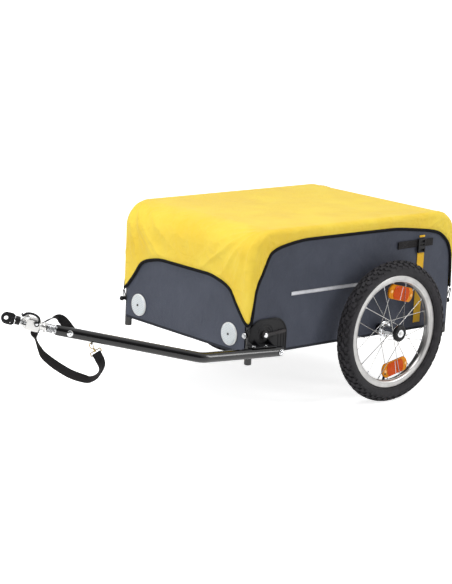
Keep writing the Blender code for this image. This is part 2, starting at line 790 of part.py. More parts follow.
def spoke_reflector_mesh(angle):
    """A rounded plate across the spokes at one angle, grooved where they pass through it."""
    width, height, thick = SPOKE_REFLECTOR_SIZE
    end = height * 0.42
    half = width / 2 - end
    outline = arc((half, 0), end, -70, 70, 4) + arc((-half, 0), end, 110, 250, 4)
    outline = [(a, b * height / 2 / end / math.sin(math.radians(70))) for a, b in outline]
    plate = slab(outline, "Y", -thick / 2, thick / 2)
    turn = math.radians(angle)
    reach = SPOKE_REFLECTOR_RADIUS
    place = Matrix.Translation((reach * math.cos(turn), 0, reach * math.sin(turn)))
    plate = moved(plate, place @ Matrix.Rotation(math.pi / 2 - turn, 4, "Y"))
    grooves = []
    for hub_end, rim_end in spoke_ends():
        middle = hub_end.lerp(rim_end, 0.75)
        if (middle - Vector((reach * math.cos(turn), 0, reach * math.sin(turn)))).length < width:
            grooves.append(rod(hub_end, rim_end.lerp(hub_end, -0.05), SPOKE_R + FIT, 6))
    return shade(cut(plate, *grooves))


def stub_axle_mesh():
    """The shaft with its outer head, bored for the push button."""
    head = HUB_HALF_LENGTH + FIT
    tip = head + AXLE_HEAD_T
    inner = AXLE_INNER_Y - WHEEL_MID_Y
    bore = BUTTON_R + FIT
    profile = [
        (0, inner), (AXLE_R - 0.001, inner), (AXLE_R, inner + 0.001), (AXLE_R, head), (AXLE_HEAD_R, head),
        (AXLE_HEAD_R, tip), (bore, tip), (bore, tip - BUTTON_DEPTH), (0, tip - BUTTON_DEPTH),
    ]
    return lathe(profile, "Y", 12)


def button_mesh():
    tip = HUB_HALF_LENGTH + FIT + AXLE_HEAD_T
    foot = tip - BUTTON_DEPTH + BUTTON_TRAVEL + 2 * FIT
    shoulder, top = tip + 0.7 * BUTTON_PROUD, tip + BUTTON_PROUD
    profile = [(0, foot), (BUTTON_R, foot), (BUTTON_R, shoulder), (0.7 * BUTTON_R, top), (0, top)]
    return lathe(profile, "Y", 12)


def add_wheels(root):
    """Both wheels share their meshes; the right one is the left one turned half a turn about Z."""
    shapes = {
        "tyre": (tyre_mesh(), "tyre"),
        "rim": (rim_mesh(), "alloy"),
        "hub": (hub_mesh(), "steel"),
        "hub_cap": (hub_cap_mesh(), "black_plastic"),
        "spoke_reflector_upper": (spoke_reflector_mesh(SPOKE_REFLECTOR_ANGLES[0]), "orange_reflector"),
        "spoke_reflector_lower": (spoke_reflector_mesh(SPOKE_REFLECTOR_ANGLES[1]), "orange_reflector"),
        "stub_axle": (stub_axle_mesh(), "steel"),
        "axle_button": (button_mesh(), "white_reflector"),
    }
    for side, sign in (("left", 1), ("right", -1)):
        turn = Matrix.Rotation(0 if sign > 0 else math.pi, 4, "Z")
        centre = Matrix.Translation((0, sign * WHEEL_MID_Y, AXLE_Z)) @ turn
        axle = axis_empty(f"{side}_wheel_axis", root, centre)
        for piece, (mesh, finish) in shapes.items():
            add_object(f"{side}_{piece}", mesh, finish, axle)


def add_frame(root):
    tall = LEG_FOOT_Z
    front_bend = arc((X_FRONT - HOOP_BEND_R, BEND_Z), HOOP_BEND_R, 0, 90, BEND_STEPS)
    rear_bend = arc((X_REAR + HOOP_BEND_R, BEND_Z), HOOP_BEND_R, 90, 180, BEND_STEPS)
    line = [(X_FRONT, tall)] + front_bend + rear_bend + [(X_REAR, tall)]
    hoop = pipe([(x, 0, z) for x, z in line], TUBE_R, TUBE_WALL)
    for side, sign in (("left", 1), ("right", -1)):
        add_object(f"{side}_hoop", hoop, "frame_black", root, Matrix.Translation((0, sign * HALF_WIDTH, 0)))

    reach = HALF_WIDTH - TUBE_R - FIT
    across = HOOP_BEND_R * math.sin(TOP_BAR_ANGLE)
    up = HOOP_BEND_R * math.cos(TOP_BAR_ANGLE)
    top_bar = pipe([(0, -reach, 0), (0, reach, 0)], TOP_BAR_R, TUBE_WALL)
    floor_bar = pipe([(0, -reach, 0), (0, reach, 0)], TUBE_R, TUBE_WALL)
    for end, x, inward in (("front", X_FRONT, -1), ("rear", X_REAR, 1)):
        top_x = x + inward * (HOOP_BEND_R - across)
        place = Matrix.Translation((top_x, 0, BEND_Z + up))
        add_object(f"{end}_top_bar", top_bar, "frame_black", root, place)
        add_object(f"{end}_floor_bar", floor_bar, "frame_black", root, Matrix.Translation((x, 0, AXLE_Z)))

    gap = TUBE_R + FIT
    rail = pipe([(X_REAR + gap, 0, 0), (X_FRONT - gap, 0, 0)], TUBE_R, TUBE_WALL)
    sleeve_in, sleeve_out = SLEEVE_INNER_Y - HALF_WIDTH, SLEEVE_OUTER_Y - HALF_WIDTH
    rail = union(rail, rod((0, sleeve_in, 0), (0, sleeve_out, 0), SLEEVE_R))
    rail = shade(cut(rail, rod((0, sleeve_in - 0.01, 0), (0, sleeve_out + 0.01, 0), AXLE_R + RUNNING)))
    for side, sign in (("left", 1), ("right", -1)):
        turn = Matrix.Diagonal((1, sign, 1, 1))
        place = Matrix.Translation((0, sign * HALF_WIDTH, AXLE_Z)) @ turn
        add_object(f"{side}_floor_rail", rail, "frame_black", root, place)

    low = AXLE_Z + SLEEVE_R + FIT
    side_y = HALF_WIDTH + TUBE_R - FIT
    board = block((X_REAR + gap, -side_y, low), (X_FRONT - gap, side_y, low + FLOOR_BOARD_T))
    add_object("floor_board", board, "floor_board", root)


def add_panels(root):
    """Flat side panels, and end panels that follow the hoops' bend up to the top bars."""
    inset = PANEL_EDGE_INSET
    corner = HOOP_BEND_R - inset
    front = arc((X_FRONT - HOOP_BEND_R, BEND_Z), corner, 0, 90, BEND_STEPS)
    rear = arc((X_REAR + HOOP_BEND_R, BEND_Z), corner, 90, 180, BEND_STEPS)
    outline = [(X_REAR + inset, PANEL_FOOT_Z), (X_FRONT - inset, PANEL_FOOT_Z)] + front + rear
    for side, sign in (("left", 1), ("right", -1)):
        near = sign * (HALF_WIDTH + PANEL_IN)
        far = sign * (HALF_WIDTH + PANEL_OUT)
        hole = rod((0, near - sign * 0.01, AXLE_Z), (0, far + sign * 0.01, AXLE_Z), SLEEVE_R + 2 * FIT)
        add_object(f"{side}_panel", cut(slab(outline, "Y", near, far), hole), "panel_fabric", root)

    reach = HALF_WIDTH - END_PANEL_INSET
    steps = BEND_STEPS - 1
    top = 90 * steps / BEND_STEPS
    inner_r, outer_r = HOOP_BEND_R + PANEL_IN, HOOP_BEND_R + PANEL_OUT
    for end, x, facing in (("front", X_FRONT, 1), ("rear", X_REAR, -1)):
        outer = [(outer_r, PANEL_FOOT_Z)] + arc((0, BEND_Z), outer_r, 0, top, steps)
        inner = arc((0, BEND_Z), inner_r, top, 0, steps) + [(inner_r, PANEL_FOOT_Z)]
        shift = x - facing * HOOP_BEND_R
        strip = [(shift + facing * a, z) for a, z in outer + inner]
        add_object(f"{end}_panel", slab(strip, "Y", -reach, reach), "panel_fabric", root)


def add_cover(root):
    add_object("rain_cover", rain_cover_mesh(), "cover_fabric", root)
    add_object("elastic_hem", pipe(hem_path(), HEM_R, resolution=1, cyclic=True), "elastic", root)


def knob_mesh():
    """A ball on a stem along +Z, starting at the leg's surface."""
    start = TUBE_R + FIT
    turns = [math.radians(a) for a in (30, 60, 90, 120, 150)]
    ball = [(KNOB_BALL_R * math.sin(a), KNOB_REACH - KNOB_BALL_R * math.cos(a)) for a in turns]
    neck = KNOB_REACH - KNOB_BALL_R * math.cos(turns[0])
    stem = [(0, start), (KNOB_STEM_R, start), (KNOB_STEM_R, neck)]
    return lathe(stem + ball + [(0, KNOB_REACH + KNOB_BALL_R)], "Z", 12)


def stud_mesh(head_r, neck, thick, sides):
    """A low head on a stem along +Z, starting at the leg's surface."""
    start, top = TUBE_R + FIT, neck + thick
    stem = [(0, start), (KNOB_STEM_R, start), (KNOB_STEM_R, neck)]
    return lathe(stem + [(head_r, neck), (head_r, top), (0, top + 0.001)], "Z", sides)


def tie_mesh(lean, rise):
    """A loop of elastic round the knob's stem, up to the hem's tip at the corner's diagonal, rise above the stem."""
    half = KNOB_STEM_R + FIT + TIE_R
    diagonal = HEM_REACH / math.sqrt(2)
    top = rise - HEM_BELOW - HEM_R - FIT - TIE_R
    centre = (lean * diagonal, top - TIE_TOP_HALF)
    heading = math.degrees(math.atan2(centre[1], centre[0]))
    loop = [(a, b, TIE_REACH) for a, b in arc((0, 0), half, heading + 90, heading + 270, 6)]
    loop += [(a, b, diagonal) for a, b in arc(centre, TIE_TOP_HALF, heading - 90, heading + 90, 6)]
    return pipe(loop, TIE_R, resolution=1, cyclic=True)


def add_corner_fasteners(root):
    """The knob, stud or bolt that holds each corner of the cover, with its elastic loop."""
    bolt = stud_mesh(BOLT_HEAD_R, BOLT_REACH, BOLT_HEAD_T, 6)
    stud = stud_mesh(STUD_R, STUD_REACH, STUD_T, 12)
    corners = {
        "front_left": (X_FRONT, 1, 1, KNOB_Z, HEM_TIP_Z, bolt, "steel"),
        "front_right": (X_FRONT, -1, 1, KNOB_Z, HEM_TIP_Z, knob_mesh(), "black_plastic"),
        "rear_left": (X_REAR, 1, -1, KNOB_REAR_Z, HEM_TIP_REAR_Z, stud, "black_plastic"),
        "rear_right": (X_REAR, -1, -1, KNOB_REAR_Z, HEM_TIP_REAR_Z, stud, "black_plastic"),
    }
    for corner, (x, side, facing, height, tip, mesh, finish) in corners.items():
        turn = Vector((facing, 0, 0)).to_track_quat("Z", "Y").to_matrix().to_4x4()
        place = Matrix.Translation((x, side * HALF_WIDTH, height)) @ turn
        add_object(f"knob_{corner}", mesh, finish, root, place)
        add_object(f"elastic_tie_{corner}", tie_mesh(side * facing, tip - height), "elastic", root, place)


def round_reflector_mesh():
    """A shallow round lens with a screw head in the middle, facing +Z."""
    thick = ROUND_REFLECTOR_T
    edge = ROUND_REFLECTOR_R
    screw = [(0.004, thick), (0.004, thick + 0.0012), (0, thick + 0.0012)]
    profile = [(0, 0), (edge, 0), (edge, thick * 0.7), (edge * 0.93, thick)] + screw
    return lathe(profile, "Z", 16)


def add_round_reflectors(root):
    lens = round_reflector_mesh()
    red_lens = lens.copy()
    red_lens.materials.clear()
    for end, x, facing, mesh, finish in (
        ("front", X_FRONT, 1, lens, "white_reflector"), ("rear", X_REAR, -1, red_lens, "red_reflector"),
    ):
        for side, sign in (("left", 1), ("right", -1)):
            face = x + facing * (PANEL_OUT + FIT)
            place = Matrix.Translation((face, sign * ROUND_REFLECTOR_Y, ROUND_REFLECTOR_Z))
            turn = Vector((facing, 0, 0)).to_track_quat("Z", "Y").to_matrix().to_4x4()
            add_object(f"{end}_reflector_{side}", mesh, finish, root, place @ turn)


def add_buckles(root):
    """The webbing tab and its buckle, above the band on each side."""
    length, height, thick = BUCKLE_TAB
    block_l, block_h, block_t = BUCKLE_BLOCK
    tab = block(
        (BUCKLE_TAB_X - length / 2, 0.0005, BUCKLE_TAB_Z - height / 2),
        (BUCKLE_TAB_X + length / 2, 0.0005 + thick, BUCKLE_TAB_Z + height / 2),
    )
    lump = block(
        (BUCKLE_BLOCK_X - block_l / 2, 0, BUCKLE_BLOCK_Z - block_h / 2),
        (BUCKLE_BLOCK_X + block_l / 2, block_t, BUCKLE_BLOCK_Z + block_h / 2), 0.002,
    )
    buckle = shade(union(lump, tab))
    for side, sign in (("left", 1), ("right", -1)):
        face = sign * (HALF_WIDTH + PANEL_OUT + FIT)
        place = Matrix.Translation((0, face, 0)) @ Matrix.Diagonal((1, sign, 1, 1))
        add_object(f"{side}_buckle", buckle, "black_plastic", root, place)


def add_drawbar_mount(root):
    """The plate on the left side, its stop above the drawbar, the pivot bolt and the clamp lever."""
    low_x, high_x = PLATE_X
    low_z, high_z = PLATE_Z
    corner = PLATE_CORNER_R
    outline = [(low_x, low_z), (high_x, low_z)]
    outline += arc((high_x - corner, high_z - corner), corner, 0, 90, 5)
    outline += arc((low_x + corner, high_z - corner), corner, 90, 180, 5)
    plate = slab(outline, "Y", PLATE_Y, PLATE_OUT_Y)
    spacer_end = DRAWBAR_Y - DRAWBAR_R - FIT
    spacer = rod((PIVOT.x, PLATE_OUT_Y - 0.001, PIVOT.z), (PIVOT.x, spacer_end, PIVOT.z), 3 * PIVOT_BOLT_R)
    along = (DRAWBAR_BEND - PIVOT).normalized()
    slope = math.atan2(along.z, along.x)
    above = DRAWBAR_R + 2 * FIT
    seat = Matrix.Translation((PIVOT.x, 0, PIVOT.z)) @ Matrix.Rotation(-slope, 4, "Y")
    flange_end = DRAWBAR_Y + STOP_FLANGE_REACH
    run_low, run_high = STOP_FLANGE_RUN
    low, high = (run_low, PLATE_OUT_Y - 0.001, above), (run_high, flange_end, above + STOP_FLANGE_T)
    flange = moved(block(low, high), seat)
    foot = above + STOP_FLANGE_T / 2
    bolt_top = above + STOP_FLANGE_T + STOP_BOLT_T
    heads = [
        moved(rod((run, DRAWBAR_Y, foot), (run, DRAWBAR_Y, bolt_top), STOP_BOLT_R, 6), seat)
        for run in STOP_BOLTS
    ]
    x, z = LEVER_PIVOT_X, LEVER_PIVOT_Z
    lever_out = PLATE_OUT_Y + FIT + LEVER_T + FIT
    pin = rod((x, PLATE_OUT_Y - 0.001, z), (x, lever_out + 0.001, z), LEVER_PIN_R, 12)
    head = rod((x, lever_out, z), (x, lever_out + 0.0015, z), LEVER_PIN_R * 1.7, 12)
    plate = union(plate, spacer, flange, heads[0], heads[1], pin, head)
    bore = rod((PIVOT.x, PLATE_Y - 0.01, PIVOT.z), (PIVOT.x, spacer_end + 0.01, PIVOT.z), PIVOT_BOLT_R + FIT, 12)
    add_object("drawbar_mount_plate", shade(cut(plate, bore)), "black_plastic", root)

    head_y = DRAWBAR_Y + DRAWBAR_R + FIT
    shaft = rod((PIVOT.x, PLATE_Y, PIVOT.z), (PIVOT.x, head_y + 0.001, PIVOT.z), PIVOT_BOLT_R, 12)
    cap = rod((PIVOT.x, head_y, PIVOT.z), (PIVOT.x, head_y + PIVOT_HEAD_T, PIVOT.z), PIVOT_HEAD_R, 12)
    add_object("pivot_bolt", shade(union(cap, shaft)), "steel", root)

    lever_axis = axis_empty("lock_lever_axis", root, Matrix.Translation((LEVER_PIVOT_X, 0, LEVER_PIVOT_Z)))
    low_y = PLATE_OUT_Y + FIT
    disc = rod((0, low_y, 0), (0, low_y + LEVER_T, 0), LEVER_DISC_R, 14)
    arm = moved(
        block((-LEVER_ARM, low_y, -LEVER_ARM_W / 2), (0, low_y + LEVER_T, LEVER_ARM_W / 2), 0.0015),
        Matrix.Rotation(LEVER_RISE, 4, "Y"),
    )
    hole = rod((0, low_y - 0.01, 0), (0, low_y + LEVER_T + 0.01, 0), LEVER_PIN_R + FIT, 12)
    add_object("lock_lever", shade(cut(union(disc, arm), hole)), "dark_grey", lever_axis)


def drawbar_line():
    """The drawbar's centre line, its bend rounded in eight steps."""
    rear = (DRAWBAR_BEND - PIVOT).normalized()
    front = (DRAWBAR_END - DRAWBAR_BEND).normalized()
    back = DRAWBAR_BEND_R * math.tan(rear.angle(front) / 2)
    start, end = DRAWBAR_BEND - rear * back, DRAWBAR_BEND + front * back
    side = (front - rear * front.dot(rear)).normalized()
    centre = start + side * DRAWBAR_BEND_R
    turn = rear.angle(front)
    turns = [turn * i / 8 for i in range(9)]
    bend = [centre + DRAWBAR_BEND_R * (rear * math.sin(a) - side * math.cos(a)) for a in turns]
    bend[-1] = end
    return [PIVOT - rear * DRAWBAR_TAIL] + bend + [DRAWBAR_END]


def axis_frame(start, end):
    """A frame at start with X along the line to end, Y level to the left of it, and Z up from it."""
    along = (end - start).normalized()
    left = Vector((-along.y, along.x, 0)).normalized()
    up = along.cross(left)
    turn = Matrix((along, left, up)).transposed().to_4x4()
    return Matrix.Translation(start) @ turn


def eyelet_mesh(x):
    """A small wire loop under the drawbar, which the snap hook holds."""
    loop = arc((0, -DRAWBAR_R * 0.93), EYELET_R, 180, 360, 8)
    ends = [(-EYELET_R, -DRAWBAR_R * 0.55)] + loop + [(EYELET_R, -DRAWBAR_R * 0.55)]
    return pipe([(x, a, b) for a, b in ends], EYELET_WIRE_R, resolution=1)


def add_drawbar(root, tube_axis):
    """The bent tube with its pivot holes, the bolt that holds the strap, and the plug for the spring."""
    line = drawbar_line()
    tube = pipe(line, DRAWBAR_R, TUBE_WALL, resolution=4)
    to_root = tube_axis.matrix_basis
    pivot_hole = rod(PIVOT - Vector((0, 0.03, 0)), PIVOT + Vector((0, 0.03, 0)), PIVOT_BOLT_R + FIT, 12)
    side = DRAWBAR_R + 0.01
    bolt_hole = moved(rod((STRAP_BOLT_X, -side, 0), (STRAP_BOLT_X, side, 0), STRAP_BOLT_R + FIT, 12), to_root)
    tube = cut(tube, pivot_hole, bolt_hole)
    eyelet = moved(eyelet_mesh(EYELET_X), to_root)
    tube = union(tube, cut(eyelet, pipe(line, DRAWBAR_R - TUBE_WALL / 2)))
    fold_axis = axis_empty("drawbar_fold_axis", root, Matrix.Translation(PIVOT))
    add_object("drawbar_tube", shade(tube), "frame_black", fold_axis, Matrix.Translation(-PIVOT))

    near = DRAWBAR_R + FIT
    strap_out = -STRAP_ROUTE[0][2] + STRAP_T / 2 + FIT
    shaft = rod((STRAP_BOLT_X, -strap_out - 0.001, 0), (STRAP_BOLT_X, near + 0.001, 0), STRAP_BOLT_R, 12)
    cap = rod((STRAP_BOLT_X, near, 0), (STRAP_BOLT_X, near + 0.004, 0), STRAP_BOLT_HEAD_R, 12)
    washer = rod((STRAP_BOLT_X, -strap_out - STRAP_WASHER_T, 0), (STRAP_BOLT_X, -strap_out, 0), STRAP_WASHER_R, 12)
    add_object("strap_bolt", shade(union(cap, shaft, washer)), "steel", tube_axis)


def spring_path():
    """The coil's centre line, with a straight run of one wire width at each end."""
    wire = 2 * SPRING_WIRE_R
    start, end = SPRING_X[0] + wire, SPRING_X[1] - wire
    count = int(SPRING_TURNS * SPRING_POINTS_PER_TURN)
    coil = []
    for i in range(count + 1):
        share = i / count
        turn = 2 * math.pi * SPRING_TURNS * share
        coil.append(Vector((start + (end - start) * share, SPRING_R * math.cos(turn), SPRING_R * math.sin(turn))))
    first = coil[0] - Vector((wire, 0, 0))
    last = coil[-1] + Vector((wire, 0, 0))
    return [first] + coil + [last]


def least_turn_gap(path, wire_r, per_turn):
    """The smallest gap between the wire and its own next turns, measured on its points."""
    spaces = [
        (a - b).length - 2 * wire_r
        for i, a in enumerate(path)
        for b in path[i + per_turn // 2:]
    ]
    return min(spaces)


def coupling_mesh():
    """The cast body: neck, block, shell round the ball, bosses, and the slot that the stem swings in."""
    neck_end = BLOCK_X[0] + 0.004
    neck = lathe([
        (0, NECK_X), (PLUG_FLANGE_R, NECK_X), (PLUG_FLANGE_R, NECK_X + 0.003),
        (NECK_R, NECK_X + 0.005), (NECK_R, neck_end), (0, neck_end),
    ], "X", 16)
    half_y, half_z = BLOCK_HALF
    middle = block((BLOCK_X[0], -half_y, -half_z), (BLOCK_X[1], half_y, half_z), 0.003)
    turns = [math.radians(a) for a in range(0, 181, 20)]
    shell = lathe([(SHELL_R * math.sin(a), BALL_X - SHELL_R * math.cos(a)) for a in turns], "X", 12)
    x, z, radius = FRONT_BOSS
    front = rod((x, -FRONT_BOSS_Y, z), (x, FRONT_BOSS_Y, z), radius, 12)
    x, z, radius = REAR_BOSS
    rear = rod((x, -BOSS_Y, z), (x, BOSS_Y, z), radius, 12)
    pin_end = BAIL_Y + BAIL_R
    pin = rod((x, -pin_end, z), (x, pin_end, z), BAIL_PIN_R, 12)
    x0, x1, y, z, radius = SIDE_CYLINDER
    lower = rod((x0, y, z), (x1, y, z), radius, 12)
    body = union(middle, neck, shell, front, rear, pin, lower)
    hollow = BALL_R + 0.0004
    socket = lathe([(hollow * math.sin(a), BALL_X - hollow * math.cos(a)) for a in turns], "X", 16)
    slot = block((BALL_X, -2 * SHELL_R, -SLOT_HALF_Z), (BALL_X + 2 * SHELL_R, 2 * SHELL_R, SLOT_HALF_Z))
    return shade(cut(body, socket, slot))


def bail_mesh():
    """A bent rod from an eye on the pin's near end, over the body and across to its middle."""
    pivot = (REAR_BOSS[0], REAR_BOSS[1])
    line = [Vector((x, BAIL_Y, z)) for x, z in [pivot] + BAIL_ARC]
    line.append(Vector((BAIL_ARC[-1][0], 0, BAIL_ARC[-1][1])))
    near, far = BOSS_Y + FIT, BAIL_Y + BAIL_R
    eye = rod((pivot[0], near, pivot[1]), (pivot[0], far, pivot[1]), BAIL_PIN_R + 0.0025, 16)
    hole = rod((pivot[0], near - 0.01, pivot[1]), (pivot[0], far + 0.01, pivot[1]), BAIL_PIN_R + FIT, 12)
    middle = block((pivot[0] - 0.012, 0, pivot[1] - 0.012), (pivot[0] + 0.006, near, pivot[1] + 0.006))
    return shade(cut(union(pipe(line, BAIL_R), eye), hole, middle))


def stem_mesh():
    """Ball, stem, ribbed boot and the pin that the eye turns on, in one turned profile."""
    cone = math.asin(STEM_R / BALL_R)
    ball = [(BALL_R * math.sin(a), BALL_X - BALL_R * math.cos(a)) for a in [i * math.pi / 9 for i in range(7)]]
    ball.append((STEM_R, BALL_X + BALL_R * math.cos(cone)))
    low, high = BOOT_X
    pitch = (high - low) / BOOT_RIBS
    ribs = []
    for i in range(BOOT_RIBS):
        start = low + i * pitch
        ribs += [(BOOT_GROOVE_R, start), (BOOT_R, start + pitch * 0.25), (BOOT_R, start + pitch * 0.75)]
    end = [(BOOT_GROOVE_R, high), (STEM_PIN_R, high), (STEM_PIN_R, high + STEM_PIN_L), (0, high + STEM_PIN_L)]
    return lathe(ball + [(STEM_R, low)] + ribs + end, "X", 16)


def eye_mesh():
    """The plate with the hole for the bicycle's axle, on a ring and a boss that turn on the stem's pin."""
    start = BOOT_X[1] + FIT
    face = start + EYE_RING_T
    outline = [(face - 0.0005, -EYE_R), (EYE_ROUND_X, -EYE_R)]
    outline += arc((EYE_ROUND_X, 0), EYE_R, -72, 72, 8)
    outline += [(EYE_ROUND_X, EYE_R), (face - 0.0005, EYE_R)]
    plate = slab(outline, "Y", -EYE_PLATE_T / 2, EYE_PLATE_T / 2)
    ring = rod((start, 0, 0), (face, 0, 0), EYE_RING_R, 20)
    boss = rod((face - 0.0005, 0, 0), (start + EYE_BOSS_L, 0, 0), EYE_BOSS_R, 16)
    hole = rod((HITCH_LENGTH, -0.01, 0), (HITCH_LENGTH, 0.01, 0), EYE_HOLE_R, 20)
    pin_hole = rod((start - 0.01, 0, 0), (start + STEM_PIN_L, 0, 0), STEM_PIN_R + FIT, 12)
    return shade(cut(union(plate, ring, boss), hole, pin_hole))


def add_coupling(root):
    hitch = axis_frame(DRAWBAR_END, EYE_CENTRE)
    base = axis_empty("coupling_axis", root, hitch)
    plug_profile = [
        (0, -PLUG_STUB), (PLUG_STUB_R, -PLUG_STUB), (PLUG_STUB_R, PLUG_FLANGE_X), (PLUG_FLANGE_R, PLUG_FLANGE_X),
        (PLUG_FLANGE_R, PLUG_FLANGE_X + PLUG_FLANGE_T), (0, PLUG_FLANGE_X + PLUG_FLANGE_T),
    ]
    add_object("spring_plug", lathe(plug_profile, "X", 16), "steel", base)
    path = spring_path()
    gap = least_turn_gap(path, SPRING_WIRE_R, SPRING_POINTS_PER_TURN)
    print(f"coupling spring: least gap between turns {gap * 1000:.2f} mm")
    add_object("coupling_spring", pipe(path, SPRING_WIRE_R, resolution=1), "steel", base)

    add_object("coupling_body", coupling_mesh(), "alloy", base)
    pivot = Vector((REAR_BOSS[0], 0, REAR_BOSS[1]))
    bail_axis = axis_empty("latch_bail_axis", base, Matrix.Translation(pivot))
    add_object("latch_bail", bail_mesh(), "black_plastic", bail_axis, Matrix.Translation(-pivot))
    centre = Vector((BALL_X, 0, 0))
    ball_axis = axis_empty("ball_axis", base, Matrix.Translation(centre))
    add_object("hitch_stem", stem_mesh(), "black_plastic", ball_axis, Matrix.Translation(-centre))
    add_object("hitch_eye", eye_mesh(), "black_plastic", ball_axis, Matrix.Translation(-centre))


def strap_sections():
    """(middle, width direction, travel) along the strap: its route, then a turn round the ring's bar
    and back along itself."""
    spots = smooth_path([Vector(p[:3]) for p in STRAP_ROUTE], STRAP_STEPS)
    spots = [Vector((x, y, z)) for x, z, y in spots]
    turns = [v.x for v in smooth_path([Vector((p[3], 0, 0)) for p in STRAP_ROUTE], STRAP_STEPS)]
    found = []
    for i, spot in enumerate(spots):
        along = (spots[min(i + 1, len(spots) - 1)] - spots[max(i - 1, 0)]).normalized()
        level = Vector((0, 1, 0))
        level = (level - along * level.dot(along)).normalized()
        upright = along.cross(level)
        turn = math.radians(turns[i])
        found.append((spot, level * math.cos(turn) + upright * math.sin(turn), along))

    frame, _ = hook_frame()
    travel, across, wide = frame.to_3x3().col[0], frame.to_3x3().col[1], frame.to_3x3().col[2]
    bar = frame @ Vector((-STRAP_RING_DEPTH, 0, 0))
    reach = STRAP_RING_WIRE_R + FIT + STRAP_T / 2
    wide = wide if wide.dot(found[-1][1]) > 0 else -wide
    found.append((bar - across * reach - travel * 0.004, wide, travel))
    for degrees in range(0, 181, 30):
        turn = math.radians(degrees)
        out = travel * math.sin(turn) - across * math.cos(turn)
        found.append((bar + out * reach, wide, travel * math.cos(turn) + across * math.sin(turn)))
    last = bar - travel * 0.006 - across * (reach - STRAP_T - 4 * FIT)
    found.append((last, wide, -travel))
    heading = (found[-13][0] - bar).normalized()
    end = last + heading * (STRAP_LOOP_BACK - 0.006)
    found.append((end, wide, heading))
    return found


def strap_mesh():
    """A flat ribbon with square edges swept along the route, with the bolt's hole."""
    bm = bmesh.new()
    rings = []
    for spot, wide, along in strap_sections():
        thin = along.cross(wide).normalized() * STRAP_T / 2
        half = wide * STRAP_WIDTH / 2
        rings.append([bm.verts.new(spot + a * half + b * thin) for a, b in ((-1, -1), (1, -1), (1, 1), (-1, 1))])
    for first, second in zip(rings, rings[1:]):
        for i in range(4):
            j = (i + 1) % 4
            bm.faces.new((first[i], first[j], second[j], second[i]))
    bm.faces.new(list(reversed(rings[0])))
    bm.faces.new(rings[-1])
    hole = rod((STRAP_BOLT_X, -0.03, 0), (STRAP_BOLT_X, 0, 0), STRAP_BOLT_R + FIT, 12)
    return shade(cut(mesh_of(bm), hole), 50)


def hook_frame():
    """The snap hook's own frame: X from the foot up to the top of its loop, Z square to that and upright."""
    top = Vector((HOOK_TOP[0], 0, HOOK_TOP[1]))
    foot = Vector((HOOK_FOOT[0], 0, HOOK_FOOT[1]))
    along = (top - foot).normalized()
    left = Vector((0, 1, 0))
    up = along.cross(left)
    return Matrix.Translation(foot) @ Matrix((along, left, up)).transposed().to_4x4(), (top - foot).length


def add_strap(tube_axis):
    add_object("safety_strap", strap_mesh(), "webbing", tube_axis)
    frame, length = hook_frame()
    base = axis_empty("snap_hook_axis", tube_axis, frame)
    wire = STRAP_RING_WIRE_R
    half, depth = STRAP_RING_HALF, STRAP_RING_DEPTH
    loop = [(depth, -half), (-depth, -half), (-depth, half), (depth, half)]
    points = []
    for i, (a, b) in enumerate(loop):
        before, after = Vector(loop[i - 1]), Vector(loop[(i + 1) % 4])
        corner = Vector((a, b))
        points.append(corner + (before - corner).normalized() * STRAP_RING_CORNER)
        points.append(corner + (after - corner).normalized() * STRAP_RING_CORNER)
    add_object("strap_ring", pipe([(p.x, 0, p.y) for p in points], wire, resolution=1, cyclic=True), "steel", base)

    loop_start = length - HOOK_LOOP_L
    rise = HOOK_HALF_W
    top_centre = length - HOOK_HALF_W
    spine = [(loop_start, 0.0), (loop_start + 0.003, -rise), (top_centre, -rise)]
    turns = [math.radians(-90 + (90 + math.degrees(HOOK_NOSE)) * i / 7) for i in range(1, 8)]
    spine += [(top_centre + rise * math.cos(a), rise * math.sin(a)) for a in turns]
    wire_mesh = pipe([(x, 0, z) for x, z in spine], HOOK_WIRE_R, resolution=1)
    swivel = rod((depth + wire, 0, 0), (loop_start + 0.001, 0, 0), HOOK_WIRE_R * 1.7, 12)
    barrel = rod((depth, 0, -HOOK_BARREL_L / 2), (depth, 0, HOOK_BARREL_L / 2), HOOK_BARREL_R, 16)
    bore = rod((depth, 0, -HOOK_BARREL_L), (depth, 0, HOOK_BARREL_L), wire + FIT, 12)
    add_object("snap_hook", shade(cut(union(barrel, swivel, wire_mesh), bore)), "steel", base)

    nose = spine[-1]
    hinge = Vector((loop_start + 0.0018, 0, rise * 0.35))
    gate_end = Vector((nose[0] - HOOK_WIRE_R * 1.3, 0, nose[1] - HOOK_WIRE_R * 0.4))
    gate_axis = axis_empty("hook_gate_axis", base, Matrix.Translation(hinge))
    add_object("hook_gate", rod((0, 0, 0), gate_end - hinge, HOOK_WIRE_R * 0.7, 8), "steel", gate_axis)


def main():
    clear_scene()
    root = axis_empty("trailer_origin", None, Matrix.Translation((AXLE_X, 0, 0)))
    tube_axis = axis_empty("drawbar_end_axis", root, axis_frame(DRAWBAR_END, DRAWBAR_END * 2 - DRAWBAR_BEND))
    add_frame(root)
    add_panels(root)
    add_cover(root)
    add_corner_fasteners(root)
    add_round_reflectors(root)
    add_buckles(root)
    add_wheels(root)
    add_drawbar_mount(root)
    add_drawbar(root, tube_axis)
    add_coupling(root)
    add_strap(tube_axis)


main()
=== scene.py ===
"""Looks for the bicycle cargo trailer: coated cloth tub and rain cover, spoked wheels, painted drawbar,
cast coupling and webbing strap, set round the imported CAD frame. Metres, in the row's frame."""

import math

import bmesh
import bpy
from mathutils import Matrix, Vector, noise

